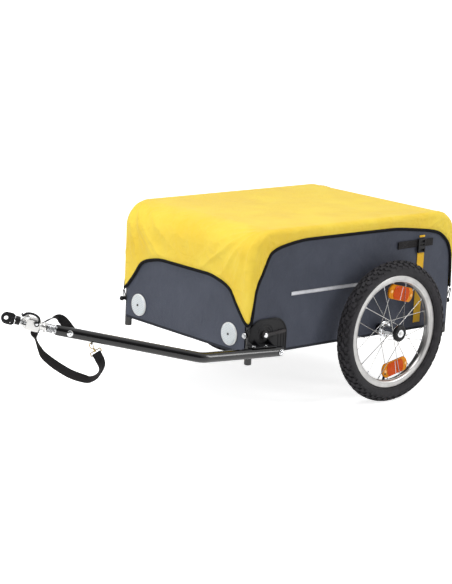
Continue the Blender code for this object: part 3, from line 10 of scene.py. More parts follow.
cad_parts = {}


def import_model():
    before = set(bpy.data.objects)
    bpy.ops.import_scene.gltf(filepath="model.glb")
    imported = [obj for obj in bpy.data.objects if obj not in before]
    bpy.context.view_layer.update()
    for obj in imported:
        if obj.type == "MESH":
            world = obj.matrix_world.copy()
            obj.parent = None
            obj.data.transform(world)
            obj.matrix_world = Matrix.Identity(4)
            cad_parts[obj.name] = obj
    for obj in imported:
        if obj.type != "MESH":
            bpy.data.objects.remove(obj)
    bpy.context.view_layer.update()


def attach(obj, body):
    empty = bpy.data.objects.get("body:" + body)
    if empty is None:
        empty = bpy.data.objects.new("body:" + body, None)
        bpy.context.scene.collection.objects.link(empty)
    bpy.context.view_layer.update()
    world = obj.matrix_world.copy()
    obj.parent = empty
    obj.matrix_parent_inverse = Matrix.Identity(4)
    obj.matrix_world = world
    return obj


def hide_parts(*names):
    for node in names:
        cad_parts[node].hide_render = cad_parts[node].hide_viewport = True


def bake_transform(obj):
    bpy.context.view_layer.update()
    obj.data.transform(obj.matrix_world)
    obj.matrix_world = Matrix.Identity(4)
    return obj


# Between faces of two pieces that lie against each other
FIT = 0.0003
# The Wave texture's scale that gives one band to each unit of length
WAVE_SCALE = 0.314159

# Places that the CAD gives, in the row's frame
AXLE_X = -0.406
AXLE_Z = 0.199
WHEEL_Y = 0.3224
HALF_WIDTH = 0.2594
X_FRONT = 0.0653
X_REAR = -0.6795
RAIL_Z = 0.4955
BEND_R = 0.060
BEND_Z = RAIL_Z - BEND_R
TUBE_R = 0.010
LEG_FOOT_Z = 0.151
PANEL_FOOT_Z = 0.178
PANEL_OUT = 0.0123
PANEL_MIDDLE = 0.0113
PANEL_BEND_R = 0.058
PANEL_T = 0.002
PANEL_SLACK = 0.0011
END_PANEL_TURN = math.radians(75)
FOOT_BINDING_LOW, FOOT_BINDING_HIGH = 0.1765, 0.1845
COVER_T = 0.0016
COVER_OUT = 0.0142
PIVOT = Vector((-0.005, 0.2994, 0.187))
DRAWBAR_BEND = Vector((0.258, 0.2994, 0.203))
DRAWBAR_END = Vector((0.590, 0.120, 0.279))
EYE_CENTRE = Vector((0.700, 0.060, 0.311))
DRAWBAR_R = 0.0137
DRAWBAR_BEND_R = 0.060
DRAWBAR_TAIL = 0.010
LEVER_SPOT = (0.026, 0.230)
BALL_X = 0.0785

# The photograph's frame in pixels, and the camera that was solved in it
PHOTO_HEIGHT = 584
FOCAL_PIXELS = 1899.6434
SENSOR_MM = 36.0
CAMERA_SPOT = Vector((3.3040912, 3.9000175, 1.4056588))
CAMERA_YAW = math.radians(-130.88382)
CAMERA_PITCH = math.radians(12.286121)
CAMERA_ROLL = math.radians(-2.664494)

SIDES = (("left", 1), ("right", -1))
ENDS = (("front", X_FRONT, 1), ("rear", X_REAR, -1))

# Rain cover: the hem's drop below the rail's centre line, at distances from a leg along each side
COVER_SAG = 0.005
HEM_REACH = 0.0150
HEM_HALF_WIDTH = 0.0044
GATHER_PITCH = 0.0085
HEM_DROP_TIP = 0.2335
HEM_DROP_TIP_REAR = 0.2055
HEM_DROP_FRONT = [
    (0.0, 0.2275), (0.018, 0.209), (0.036, 0.1875), (0.068, 0.1485), (0.105, 0.1335), (0.165, 0.1235),
]
HEM_DROP_SIDE_FRONT = [(0.0, 0.1505), (0.024, 0.0945), (0.052, 0.0435), (0.100, 0.0265), (0.190, 0.0165)]
HEM_DROP_SIDE_REAR = [(0.0, 0.106), (0.024, 0.0635), (0.065, 0.0390), (0.132, 0.0278), (0.253, 0.0170)]
BAND_X = -0.556
KNOB_Z = 0.231
KNOB_REAR_Z = 0.243

# Safety strap: along, above and beside the drawbar's axis from its front end, and the turn of its width
STRAP_ROUTE = [
    (-0.0530, -0.0078, -0.0153, 90),
    (-0.0440, -0.0002, -0.0153, 90),
    (-0.0345, 0.0078, -0.0153, 90),
    (-0.0202, 0.0200, -0.0175, 88),
    (-0.0088, 0.0262, -0.0210, 72),
    (0.0026, 0.0264, -0.0250, 40),
    (0.0136, 0.0193, -0.0285, 12),
    (0.0244, 0.0103, -0.0315, 8),
    (0.0332, 0.0033, -0.0330, 25),
    (0.0414, -0.0071, -0.0315, 55),
    (0.0461, -0.0215, -0.0295, 72),
    (0.0445, -0.0301, -0.0280, 45),
    (0.0402, -0.0389, -0.0250, 12),
    (0.0268, -0.0583, -0.0180, 25),
    (0.0125, -0.0735, -0.0115, 45),
    (-0.0148, -0.0879, -0.0060, 60),
    (-0.0355, -0.0961, -0.0030, 62),
    (-0.0557, -0.1029, 0.0, 62),
    (-0.0777, -0.1077, 0.0, 60),
    (-0.1034, -0.1103, 0.0, 45),
    (-0.1153, -0.1086, 0.0, 25),
    (-0.1285, -0.0991, 0.0, 10),
    (-0.1348, -0.0867, 0.0, 5),
    (-0.1358, -0.0753, -0.0010, 25),
    (-0.1325, -0.0630, -0.0022, 60),
    (-0.1262, -0.0530, -0.0027, 84),
]
STRAP_WIDTH = 0.024
STRAP_T = 0.0018
STRAP_STEPS = 6
STRAP_BOLT_X = -0.0347
HOOK_TOP = (-0.0935, -0.0172)
HOOK_FOOT = (-0.1124, -0.0372)
RING_DEPTH = 0.0045
RING_WIRE_R = 0.0014


def linear(code):
    """An sRGB hex colour as the linear values that Blender's sockets take."""
    values = [int(code[i:i + 2], 16) / 255 for i in (1, 3, 5)]
    return (*[v / 12.92 if v <= 0.04045 else ((v + 0.055) / 1.055) ** 2.4 for v in values], 1.0)


def node(tree, kind, inputs=None, **settings):
    """Adds one node: its settings, and for each input either a value or the output that it is linked from."""
    made = tree.nodes.new("ShaderNode" + kind)
    for name, value in settings.items():
        setattr(made, name, value)
    for socket, value in (inputs or {}).items():
        if isinstance(value, bpy.types.NodeSocket):
            tree.links.new(value, made.inputs[socket])
        else:
            made.inputs[socket].default_value = value
    return made


def math_node(tree, operation, first, second=None):
    """The output of one step of arithmetic."""
    inputs = {0: first} if second is None else {0: first, 1: second}
    return node(tree, "Math", inputs, operation=operation).outputs[0]


def empty_tree(owner):
    """The node tree of a material or of the world, with nothing in it."""
    owner.use_nodes = True
    owner.node_tree.nodes.clear()
    return owner.node_tree


def finish(name, sockets, pattern):
    """A material with one principled shader. sockets holds what is the same all over the surface, and pattern
    adds the nodes that vary over it."""
    made = bpy.data.materials.new(name)
    tree = empty_tree(made)
    shader = node(tree, "BsdfPrincipled", sockets)
    node(tree, "OutputMaterial", {"Surface": shader.outputs[0]})
    pattern(tree, shader)
    return made


def cloudy(tree, spot, scale, detail, rough=0.5, twist=0.0):
    """Noise from 0 to 1, with about scale lumps to the metre."""
    inputs = {"Vector": spot, "Scale": scale, "Detail": detail, "Roughness": rough, "Distortion": twist}
    return node(tree, "TexNoise", inputs).outputs[0]


def two_tone(tree, source, shade, light, low=0.0, high=1.0):
    """A colour that is shade where the source is low and light where it is high."""
    ramp = node(tree, "ValToRGB", {0: source})
    for stop, position, code in zip(ramp.color_ramp.elements, (low, high), (shade, light)):
        stop.position, stop.color = position, linear(code)
    return ramp.outputs[0]


def colour_surface(tree, shader, *tones):
    """Gives the shader its colour, as two_tone makes it."""
    tree.links.new(two_tone(tree, *tones), shader.inputs["Base Color"])


def uneven_gloss(tree, shader, source, low, high, start=0.0, end=1.0):
    """Lets the roughness go from low to high as the source goes from start to end."""
    gloss = node(tree, "MapRange", {0: source, 1: start, 2: end, 3: low, 4: high})
    tree.links.new(gloss.outputs[0], shader.inputs["Roughness"])


def raise_surface(tree, shader, height, distance):
    """Gives the shader a relief, its full height in metres."""
    bump = node(tree, "Bump", {"Height": height, "Distance": distance, "Strength": 1.0})
    tree.links.new(bump.outputs[0], shader.inputs["Normal"])


def plain_weave(tree, thread):
    """The height of a plain weave on the piece's own UV map, in metres: threads that cross over and under."""
    flat = node(tree, "TexCoord").outputs["UV"]
    counted = node(tree, "VectorMath", {0: flat, "Scale": 1 / thread}, operation="SCALE").outputs[0]
    squares = {"Vector": counted, "Scale": 1.0, "Color1": (1, 1, 1, 1), "Color2": (0, 0, 0, 1)}
    over = node(tree, "TexChecker", squares)
    warp = node(tree, "TexWave", {"Vector": counted, "Scale": WAVE_SCALE}, bands_direction="X")
    weft = node(tree, "TexWave", {"Vector": counted, "Scale": WAVE_SCALE}, bands_direction="Y")
    return node(
        tree, "Mix", {0: over.outputs["Fac"], 2: warp.outputs["Fac"], 3: weft.outputs["Fac"]},
    ).outputs[0]


def coated_cloth(thread, shade, light, crumple):
    """Woven polyester under a thin coat: the weave shows faintly, its threads painted darker where they dip
    under, a painted shade, and lighter on their tops, a painted highlight; the colour shifts at old creases.
    """

    def pattern(tree, shader):
        spot = node(tree, "TexCoord").outputs["Object"]
        patches = cloudy(tree, spot, 9.0, 3.0)
        colour = two_tone(tree, patches, shade, light, 0.34, 0.66)
        weave = plain_weave(tree, thread)
        # The colour is scaled by the weave's height: painted shade between the threads, painted highlight on
        # their tops
        weave_shade = node(tree, "MapRange", {0: weave, 3: 0.93, 4: 1.03}).outputs[0]
        weave_shaded = node(tree, "VectorMath", {0: colour, "Scale": weave_shade}, operation="SCALE").outputs[0]
        tree.links.new(weave_shaded, shader.inputs["Base Color"])
        uneven_gloss(tree, shader, patches, 0.50, 0.62, 0.3, 0.7)
        creases = cloudy(tree, spot, 26.0, 4.0, 0.6, 0.6)
        low = node(tree, "Bump", {"Height": creases, "Distance": crumple, "Strength": 1.0}).outputs[0]
        fine = node(tree, "Bump", {"Height": weave, "Distance": thread * 0.11, "Normal": low}).outputs[0]
        tree.links.new(fine, shader.inputs["Normal"])

    return pattern


def ribbed(tree, shader, along, pitch, shade, light, depth):
    """Rounded ribs, one to each pitch of a length in metres, with painted highlight on their crests and
    painted shade in the troughs between them.
    """
    wave = math_node(tree, "SINE", math_node(tree, "MULTIPLY", along, 2 * math.pi / pitch))
    height = node(tree, "MapRange", {0: wave, 1: -1.0, 2: 1.0}).outputs[0]
    # The colour follows the rib height: painted shade in the troughs, painted highlight on the crests
    colour_surface(tree, shader, height, shade, light)
    raise_surface(tree, shader, height, depth)


def flat_webbing(pitch, column, shade, light, depth):
    """Webbing in chevrons: diagonal threads that turn back at each column of the warp."""

    def pattern(tree, shader):
        flat = node(tree, "SeparateXYZ", {0: node(tree, "TexCoord").outputs["UV"]})
        fold = math_node(tree, "PINGPONG", flat.outputs[1], column)
        slant = math_node(tree, "ADD", flat.outputs[0], fold)
        ribbed(tree, shader, slant, pitch, shade, light, depth)

    return pattern


def knitted_ribs(pitch, shade, light):
    """Elastic with close cross ribs along its length."""

    def pattern(tree, shader):
        flat = node(tree, "SeparateXYZ", {0: node(tree, "TexCoord").outputs["UV"]})
        ribbed(tree, shader, flat.outputs[0], pitch, shade, light, pitch * 0.25)

    return pattern


def grained(grain, depth, shade, light, smooth, rough):
    """A fine even grain, with its colour and its gloss a little uneven. grain is the size of one grain."""

    def pattern(tree, shader):
        spot = node(tree, "TexCoord").outputs["Object"]
        patches = cloudy(tree, spot, 22.0, 3.0, 0.55)
        colour_surface(tree, shader, patches, shade, light, 0.3, 0.7)
        uneven_gloss(tree, shader, patches, smooth, rough, 0.3, 0.7)
        raise_surface(tree, shader, cloudy(tree, spot, 1 / grain, 2.0), depth)

    return pattern


def tyre_rubber(tree, shader):
    """Moulded rubber, finely pitted, with grey dust in patches."""
    spot = node(tree, "TexCoord").outputs["Object"]
    dust = cloudy(tree, spot, 60.0, 5.0, 0.65)
    colour_surface(tree, shader, dust, "#1D1C1F", "#39373B", 0.42, 0.78)
    uneven_gloss(tree, shader, dust, 0.56, 0.78, 0.35, 0.7)
    raise_surface(tree, shader, cloudy(tree, spot, 700.0, 2.0), 0.0004)


def spun_rings(side):
    """Fine rings round the axle of one wheel, as the lathe or the polishing wheel leaves them."""

    def pattern(tree, shader):
        spot = node(tree, "TexCoord").outputs["Object"]
        place = node(tree, "Mapping", {"Vector": spot, "Location": (-AXLE_X, -side * WHEEL_Y, -AXLE_Z)})
        parts = node(tree, "SeparateXYZ", {0: place.outputs[0]})
        flat = node(tree, "CombineXYZ", {0: parts.outputs[0], 2: parts.outputs[2]})
        reach = node(tree, "VectorMath", {0: flat.outputs[0]}, operation="LENGTH")
        ring = node(tree, "CombineXYZ", {0: reach.outputs["Value"], 1: parts.outputs[1]})
        lines = cloudy(tree, ring.outputs[0], 1100.0, 2.0)
        colour_surface(tree, shader, cloudy(tree, spot, 30.0, 3.0), "#ADACAB", "#C4C3C1", 0.3, 0.7)
        uneven_gloss(tree, shader, lines, 0.24, 0.42)
        raise_surface(tree, shader, lines, 0.00004)

    return pattern


def prism_cells(size, shade, light):
    """The moulded prisms behind a reflector's smooth face: three sets of grooves at sixty degrees, painted
    darker in the grooves as painted shade and lighter on the facets as painted glints.
    """

    def pattern(tree, shader):
        flat = node(tree, "TexCoord").outputs["UV"]
        grooves = []
        for degrees in (0, 60, 120):
            spot = node(
                tree, "Mapping", {"Vector": flat, "Rotation": (0, 0, math.radians(degrees))},
            ).outputs[0]
            bands = {"Vector": spot, "Scale": WAVE_SCALE / size}
            wave = node(tree, "TexWave", bands, bands_direction="X", wave_profile="TRI")
            grooves.append(wave.outputs["Fac"])
        deepest = math_node(tree, "MINIMUM", math_node(tree, "MINIMUM", *grooves[:2]), grooves[2])
        # The colour follows the groove depth: painted shade in the grooves, painted glints on the facets
        colour_surface(tree, shader, deepest, shade, light, 0.0, 0.55)
        raise_surface(tree, shader, deepest, size * 0.5)

    return pattern


def glass_bead_tape(tree, shader):
    """Retroreflective tape: tiny cells in a grey film, a little uneven where it was pressed on."""
    spot = node(tree, "TexCoord").outputs["Object"]
    cells = node(tree, "TexVoronoi", {"Vector": spot, "Scale": 900.0})
    colour_surface(tree, shader, cloudy(tree, spot, 40.0, 2.0), "#B9BAC0", "#D2D3D8", 0.3, 0.7)
    raise_surface(tree, shader, cells.outputs["Distance"], 0.0002)


def make_finishes():
    """Every surface on the trailer, named for what it is made of and how."""
    specular, coat, coat_rough = "Specular IOR Level", "Coat Weight", "Coat Roughness"
    metal, sewn = {"Metallic": 1.0}, {"Roughness": 0.6}
    tape = {"Metallic": 0.25, "Roughness": 0.35, coat: 0.4}
    # Acrylic reflector lenses: a smooth clear face over moulded prisms, whose colour has painted shade in the
    # grooves and painted glints on the facets
    lens = {"Roughness": 0.14, specular: 0.12, coat: 0.08, coat_rough: 0.03}
    rows = [
        # PU-coated woven polyester: a soft satin with a bright sheen at grazing angles; threads drawn 1.1 mm
        # apart, twice the real spacing, so that they show
        ("cover_cloth", "coated_polyester_yellow",
         {specular: 0.3, "Sheen Weight": 0.05, "Sheen Roughness": 0.4},
         coated_cloth(0.0011, "#EAC73B", "#F0D34C", 0.006)),
        ("tub_cloth", "coated_polyester_slate", {specular: 0.2},
         coated_cloth(0.0011, "#404450", "#4B4F5B", 0.003)),
        # Knitted elastic: dull black with close ribs, which take no real highlight; their crests are painted
        # a shade lighter, a painted highlight, and their troughs darker, a painted shade
        ("elastic", "knitted_elastic_black", {"Roughness": 0.85, specular: 0.15},
         knitted_ribs(0.0016, "#070709", "#151517")),
        # Woven polypropylene webbing: a faint silky chevron, its ribs painted lighter on the crests as
        # painted highlight and darker in the troughs as painted shade
        ("webbing", "polypropylene_webbing_black", {"Roughness": 0.62, specular: 0.2},
         flat_webbing(0.0022, 0.004, "#100F10", "#272425", 0.0004)),
        # Woven polyester webbing: strong orange-yellow chevrons, lighter on the rib crests as painted
        # highlight and deeper in the troughs as painted shade
        ("band", "polyester_webbing_orange_yellow", {"Roughness": 0.65, specular: 0.3},
         flat_webbing(0.0022, 0.0045, "#F4B61E", "#FFCF3E", 0.0004)),
        # Twisted polyester sewing thread: a dull line, black on black seams and yellow on the band
        ("thread", "polyester_thread_black", sewn, grained(0.0004, 0.0002, "#0E0E10", "#1C1C1E", 0.5, 0.65)),
        ("thread_yellow", "polyester_thread_yellow", sewn,
         grained(0.0004, 0.0002, "#D9B22F", "#E8C33C", 0.5, 0.65)),
        # Powder-coated steel: deep gloss black with the faint orange peel of the baked powder
        ("powder_coat", "powder_coated_steel_black", {specular: 0.5, coat: 0.25, coat_rough: 0.06},
         grained(0.0016, 0.00003, "#050506", "#09090A", 0.12, 0.18)),
        # Glass-filled nylon, moulded: a fine matt grain that breaks up the highlights
        ("nylon", "moulded_nylon_black", {specular: 0.25},
         grained(0.0007, 0.00012, "#0A0A0D", "#121215", 0.36, 0.48)),
        ("nylon_grey", "moulded_nylon_dark_grey", {specular: 0.25},
         grained(0.0007, 0.00012, "#2B292A", "#383536", 0.36, 0.48)),
        # Tyre rubber: charcoal, duller and greyer where dust has settled
        ("rubber", "moulded_tyre_rubber", {specular: 0.28}, tyre_rubber),
        # Extruded and rolled aluminium under clear anodising: satin, with fine turned lines round the wheel
        ("left_rim", "anodised_aluminium_left_rim", metal, spun_rings(1)),
        ("right_rim", "anodised_aluminium_right_rim", metal, spun_rings(-1)),
        # Chromed and zinc-plated steel: a bright mirror, a little soft where it was tumbled
        ("chrome", "chromed_steel", metal, grained(0.003, 0.00003, "#D6D7D9", "#E4E5E6", 0.07, 0.16)),
        ("zinc", "zinc_plated_steel", metal, grained(0.0012, 0.00004, "#B9BABC", "#CDCECF", 0.22, 0.36)),
        # Drawn stainless steel wire: clean and bright, a shade darker than the chrome
        ("stainless", "drawn_stainless_steel", metal,
         grained(0.0006, 0.00002, "#A8A7A5", "#BAB9B6", 0.16, 0.28)),
        # Die-cast aluminium, blasted: pale satin with a fine sandy skin
        ("cast", "die_cast_aluminium", metal, grained(0.0009, 0.00009, "#CDCCCA", "#DEDDDB", 0.26, 0.40)),
        # Brass plating over zinc: a muted gold with soft highlights
        ("brass", "brass_plated_zinc", metal, grained(0.0012, 0.00004, "#A08A58", "#BCA36C", 0.20, 0.32)),
        ("orange_lens", "acrylic_lens_orange", lens, prism_cells(0.0030, "#D04200", "#FF6A12")),
        ("amber_lens", "acrylic_lens_amber", lens, prism_cells(0.0030, "#F08A06", "#FFB02E")),
        ("clear_lens", "acrylic_lens_clear", lens, prism_cells(0.0058, "#CFDBE0", "#FFFFFF")),
        ("red_lens", "acrylic_lens_red", lens, prism_cells(0.0032, "#8E0E10", "#C81E1C")),
        # Silver reflective tape: pale grey film over tiny glass beads
        ("tape", "retroreflective_tape_silver", tape, glass_bead_tape),
        # Moulded acetal: milky white with a soft gloss
        ("button", "moulded_acetal_white", {coat: 0.5, coat_rough: 0.08},
         grained(0.0008, 0.00005, "#E6E6E4", "#F3F3F1", 0.22, 0.30)),
        # Braided cord over a rubber core: dull black, with a close diamond weave
        ("elastic_cord", "braided_elastic_cord_black", {"Roughness": 0.8},
         grained(0.0006, 0.0003, "#0C0C0E", "#1A1A1C", 0.7, 0.85)),
        # Woven polyester tape, darker than the cloth it binds, with fine ribs across, painted lighter on
        # their crests as painted highlight and darker between them as painted shade
        ("binding", "woven_binding_slate", {"Roughness": 0.8, specular: 0.15},
         knitted_ribs(0.0016, "#26282E", "#34373E")),
        # The same sewing thread in grey, which just shows on the black buckle webbing
        ("thread_grey", "polyester_thread_grey", sewn,
         grained(0.0004, 0.0002, "#2C2C30", "#3C3C40", 0.5, 0.65)),
        # Styrene case behind the clear lens: smooth, pale and a little glossy; the same pale paints the
        # highlight on the wheel reflectors' middle ridge
        ("pale_case_and_highlight", "moulded_styrene_pale", {coat: 0.3, coat_rough: 0.1},
         grained(0.0008, 0.00005, "#E4E7E6", "#F4F6F4", 0.25, 0.35)),
        # Clear amber acrylic under a wet-looking gloss
        ("amber_clip", "moulded_acrylic_amber", {coat: 0.8, coat_rough: 0.05},
         grained(0.0008, 0.00005, "#F3A93C", "#FBC46A", 0.18, 0.28)),
        # Steel screws blackened in oil: nearly black, with a soft metal gleam
        ("dark_screw", "blackened_steel_screw", {"Metallic": 0.6},
         grained(0.0008, 0.00005, "#2A2B2D", "#3A3B3D", 0.3, 0.45)),
        # Soft moulded rubber round the ball: black, with a broad dull highlight
        ("boot", "moulded_rubber_boot", {specular: 0.4},
         grained(0.0008, 0.00008, "#131315", "#1D1D1F", 0.42, 0.55)),
        # Hollow-chamber polypropylene board: dark grey, with a dull waxy gloss
        ("board", "polypropylene_board_dark_grey", {specular: 0.45},
         grained(0.002, 0.0001, "#2E2F33", "#37383C", 0.42, 0.55)),
    ]
    return {key: finish(name, sockets, pattern) for key, name, sockets, pattern in rows}


def joined(bm):
    """Merges what lies on the same spot, and turns the faces outwards."""
    bmesh.ops.remove_doubles(bm, verts=bm.verts, dist=2e-6)
    bmesh.ops.recalc_face_normals(bm, faces=bm.faces)
    return bm


def turned(profile, steps, axis="X", ring=False):
    """Turns (radius, height) points about an axis. A ring's outline is closed and stays off the axis."""
    bm = bmesh.new()
    spots = {"X": lambda r, h: (h, r, 0), "Y": lambda r, h: (r, h, 0), "Z": lambda r, h: (r, 0, h)}[axis]
    verts = [bm.verts.new(spots(r, h)) for r, h in profile]
    pairs = list(zip(verts, verts[1:] + verts[:1])) if ring else list(zip(verts, verts[1:]))
    edges = [bm.edges.new(pair) for pair in pairs]
    turn = {"X": (1, 0, 0), "Y": (0, 1, 0), "Z": (0, 0, 1)}[axis]
    bmesh.ops.spin(
        bm, geom=verts + edges, cent=(0, 0, 0), axis=turn, dvec=(0, 0, 0),
        angle=2 * math.pi, steps=steps, use_merge=True,
    )
    return joined(bm)


def arc(centre, radius, start, end, steps):
    """Points on a circle in a plane, angles in degrees."""
    turns = [math.radians(start + (end - start) * i / steps) for i in range(steps + 1)]
    return [(centre[0] + radius * math.cos(a), centre[1] + radius * math.sin(a)) for a in turns]


def smooth_path(points, steps):
    """Points on a Catmull-Rom curve through each of the given vectors."""
    path = []
    last = len(points) - 1
    for i in range(last):
        before = points[max(i - 1, 0)]
        here, after = points[i], points[i + 1]
        beyond = points[min(i + 2, last)]
        for step in range(steps):
            t = step / steps
            bend = (2 * before - 5 * here + 4 * after - beyond) * t * t
            swing = (3 * here - before - 3 * after + beyond) * t * t * t
            path.append((2 * here + (after - before) * t + bend + swing) / 2)
    path.append(points[-1])
    return path


def axis_frame(start, end):
    """A frame at start with X along the line to end, Y level to the left of it, and Z up from it."""
    along = (end - start).normalized()
    left = Vector((-along.y, along.x, 0)).normalized()
    turn = Matrix((along, left, along.cross(left))).transposed().to_4x4()
    return Matrix.Translation(start) @ turn


def section_frame(spot, wide, thin, along):
    """Where one section of a bar goes: its centre, its half width and half thickness, and its heading."""
    return Matrix.Translation(spot) @ Matrix((wide, thin, along)).transposed().to_4x4()


def round_frames(path, radius, closed=False):
    """Sections square to a path, turned as little as possible from one to the next."""
    count = len(path)
    frames, side = [], None
    for i, spot in enumerate(path):
        after = path[(i + 1) % count] if closed or i < count - 1 else path[i]
        before = path[i - 1] if closed or i else path[i]
        along = (after - before).normalized()
        if side is None:
            side = along.orthogonal().normalized()
        side = (side - along * side.dot(along)).normalized()
        frames.append(section_frame(spot, side * radius, along.cross(side) * radius, along))
    return frames


def swept(frames, sides=16, closed=False, square=1.0, half_width=None):
    """A bar through a row of sections: one ring extruded from each to the next. square flattens the ring's
    sides, and half_width gives a flat bar a UV map of its length and its width."""
    bm = bmesh.new()
    bmesh.ops.create_circle(bm, cap_ends=False, segments=sides, radius=1.0)
    for v in bm.verts:
        v.co.x = math.copysign(abs(v.co.x) ** square, v.co.x)
        v.co.y = math.copysign(abs(v.co.y) ** square, v.co.y)
    flat = bm.loops.layers.uv.new("flat") if half_width else None
    marks = {v: (0, v.co.x) for v in bm.verts}
    bmesh.ops.transform(bm, matrix=frames[0], verts=bm.verts)
    first = ring = bm.edges[:]
    for i, (before, after) in enumerate(zip(frames, frames[1:])):
        made = bmesh.ops.extrude_edge_only(bm, edges=ring)["geom"]
        verts = [v for v in made if isinstance(v, bmesh.types.BMVert)]
        ring = [e for e in made if isinstance(e, bmesh.types.BMEdge)]
        back = before.inverted()
        marks.update({v: (i + 1, (back @ v.co).x) for v in verts})
        bmesh.ops.transform(bm, matrix=after @ back, verts=verts)
    if closed:
        bmesh.ops.bridge_loops(bm, edges=first + ring)
    else:
        bmesh.ops.contextual_create(bm, geom=first)
        bmesh.ops.contextual_create(bm, geom=ring)
    if flat:
        lengths = [0.0]
        for before, after in zip(frames, frames[1:]):
            lengths.append(lengths[-1] + (after.translation - before.translation).length)
        total = lengths[-1] + (frames[0].translation - frames[-1].translation).length
        for face in bm.faces:
            wraps = closed and {marks[v][0] for v in face.verts} == {0, len(frames) - 1}
            for loop in face.loops:
                step, across = marks[loop.vert]
                loop[flat].uv = (total if wraps and step == 0 else lengths[step], across * half_width)
    bmesh.ops.recalc_face_normals(bm, faces=bm.faces)
    return bm


def bar(path, radius, sides=16, closed=False):
    """A round bar along a path."""
    return swept(round_frames([Vector(p) for p in path], radius, closed), sides, closed)


def rounded(bm, width, segments=2, degrees=30):
    """Rounds the edges at which the faces turn by more than some degrees."""
    sharp = [e for e in bm.edges if len(e.link_faces) == 2 and e.calc_face_angle() > math.radians(degrees)]
    bmesh.ops.bevel(
        bm, geom=sharp, offset=width, offset_type="OFFSET", segments=segments, profile=0.5,
        affect="EDGES", clamp_overlap=True, material=-1,
    )
    return bm


def rod(start, end, radius, sides=24, bevel=0.0):
    """A round pin between two points."""
    start, end = Vector(start), Vector(end)
    along = end - start
    bm = bmesh.new()
    turn = along.to_track_quat("Z", "Y").to_matrix().to_4x4()
    bmesh.ops.create_cone(
        bm, cap_ends=True, segments=sides, radius1=radius, radius2=radius, depth=along.length,
        matrix=Matrix.Translation((start + end) / 2) @ turn,
    )
    return rounded(bm, bevel, 2, 60) if bevel else bm


def pin(x, z, start, end, radius, sides=24, bevel=0.0):
    """A round pin along Y."""
    return rod((x, start, z), (x, end, z), radius, sides, bevel)


def block(low, high, bevel=0.0, segments=3):
    """A box between two corners, with rounded edges where a bevel is given."""
    low, high = Vector(low), Vector(high)
    bm = bmesh.new()
    place = Matrix.Translation((low + high) / 2) @ Matrix.Diagonal((*(high - low), 1))
    bmesh.ops.create_cube(bm, size=1.0, matrix=place)
    return rounded(bm, bevel, segments) if bevel else bm


def plate(outline, axis, low, high, bevel=0.0, segments=2):
    """A flat outline given thickness along Y or along X."""
    spot = {"Y": lambda a, b: (a, low, b), "X": lambda a, b: (low, a, b)}[axis]
    push = {"Y": (0, high - low, 0), "X": (high - low, 0, 0)}[axis]
    bm = bmesh.new()
    face = bm.faces.new([bm.verts.new(spot(a, b)) for a, b in outline])
    made = bmesh.ops.extrude_face_region(bm, geom=[face])["geom"]
    bmesh.ops.translate(bm, verts=[v for v in made if isinstance(v, bmesh.types.BMVert)], vec=push)
    joined(bm)
    return rounded(bm, bevel, segments, 50) if bevel else bm


def repeated(bm, count, axis, turn=2 * math.pi):
    """Copies a shape round an axis through the origin."""
    bmesh.ops.spin(
        bm, geom=bm.verts[:] + bm.edges[:] + bm.faces[:], cent=(0, 0, 0), axis=axis, dvec=(0, 0, 0),
        angle=turn * (count - 1) / count, steps=count - 1, use_duplicate=True,
    )
    return bm


def held(bm, name="shape"):
    """The shape as a mesh, its bmesh let go."""
    mesh = bpy.data.meshes.new(name)
    bm.to_mesh(mesh)
    bm.free()
    return mesh


def linked(name, data):
    """A new object in the scene, of a mesh, a lamp or a camera."""
    made = bpy.data.objects.new(name, data)
    bpy.context.scene.collection.objects.link(made)
    return made


def evaluated(obj):
    """The object's shape after its modifiers, as a bmesh."""
    bpy.context.view_layer.update()
    mesh = bpy.data.meshes.new_from_object(obj.evaluated_get(bpy.context.evaluated_depsgraph_get()))
    bm = bmesh.new()
    bm.from_mesh(mesh)
    bpy.data.meshes.remove(mesh)
    return bm


def thicken(obj, wall, even=False):
    """Gives an open surface its thickness, inwards."""
    solidify = obj.modifiers.new("wall", "SOLIDIFY")
    solidify.thickness, solidify.offset, solidify.use_even_offset = wall, -1.0, even


def at(x, y, z):
    """The place at a spot, not turned."""
    return Matrix.Translation((x, y, z))


def about(axis, degrees):
    """A turn about an axis through the origin."""
    return Matrix.Rotation(math.radians(degrees), 4, axis)


def on_end(x, y, z, facing):
    """The place at a spot on an end panel, with Z outwards. facing is 1 at the front and -1 at the rear."""
    return at(x, y, z) @ Vector((facing, 0, 0)).to_track_quat("Z", "Y").to_matrix().to_4x4()


def placed(shape, place):
    """The shape moved to its place, with its faces still outwards where the place mirrors it."""
    bmesh.ops.transform(shape, matrix=place, verts=shape.verts)
    if place.determinant() < 0:
        bmesh.ops.reverse_faces(shape, faces=shape.faces)
    return shape


def put(target, shape, place=None, finish_number=0):
    """Adds a shape to a piece, at its place and with one of the piece's finishes."""
    for face in shape.faces:
        face.material_index = finish_number
    mesh = held(placed(shape, place) if place is not None else shape)
    target.from_mesh(mesh)
    bpy.data.meshes.remove(mesh)
    return target


def combined(shape, others, operation):
    """The shape with the others joined to it or taken out of it, one after another."""
    whole = linked("whole", held(shape))
    helpers = [linked("other", held(other)) for other in others]
    for helper in helpers:
        modifier = whole.modifiers.new("combined", "BOOLEAN")
        modifier.operation, modifier.object = operation, helper
    bm = evaluated(whole)
    for obj in [whole] + helpers:
        bpy.data.objects.remove(obj)
    return bm


def fused(shape, *others):
    """The shape and the others as one."""
    return combined(shape, others, "UNION")


def cut(shape, *tools):
    """The shape without what the tools take out."""
    return combined(shape, tools, "DIFFERENCE")


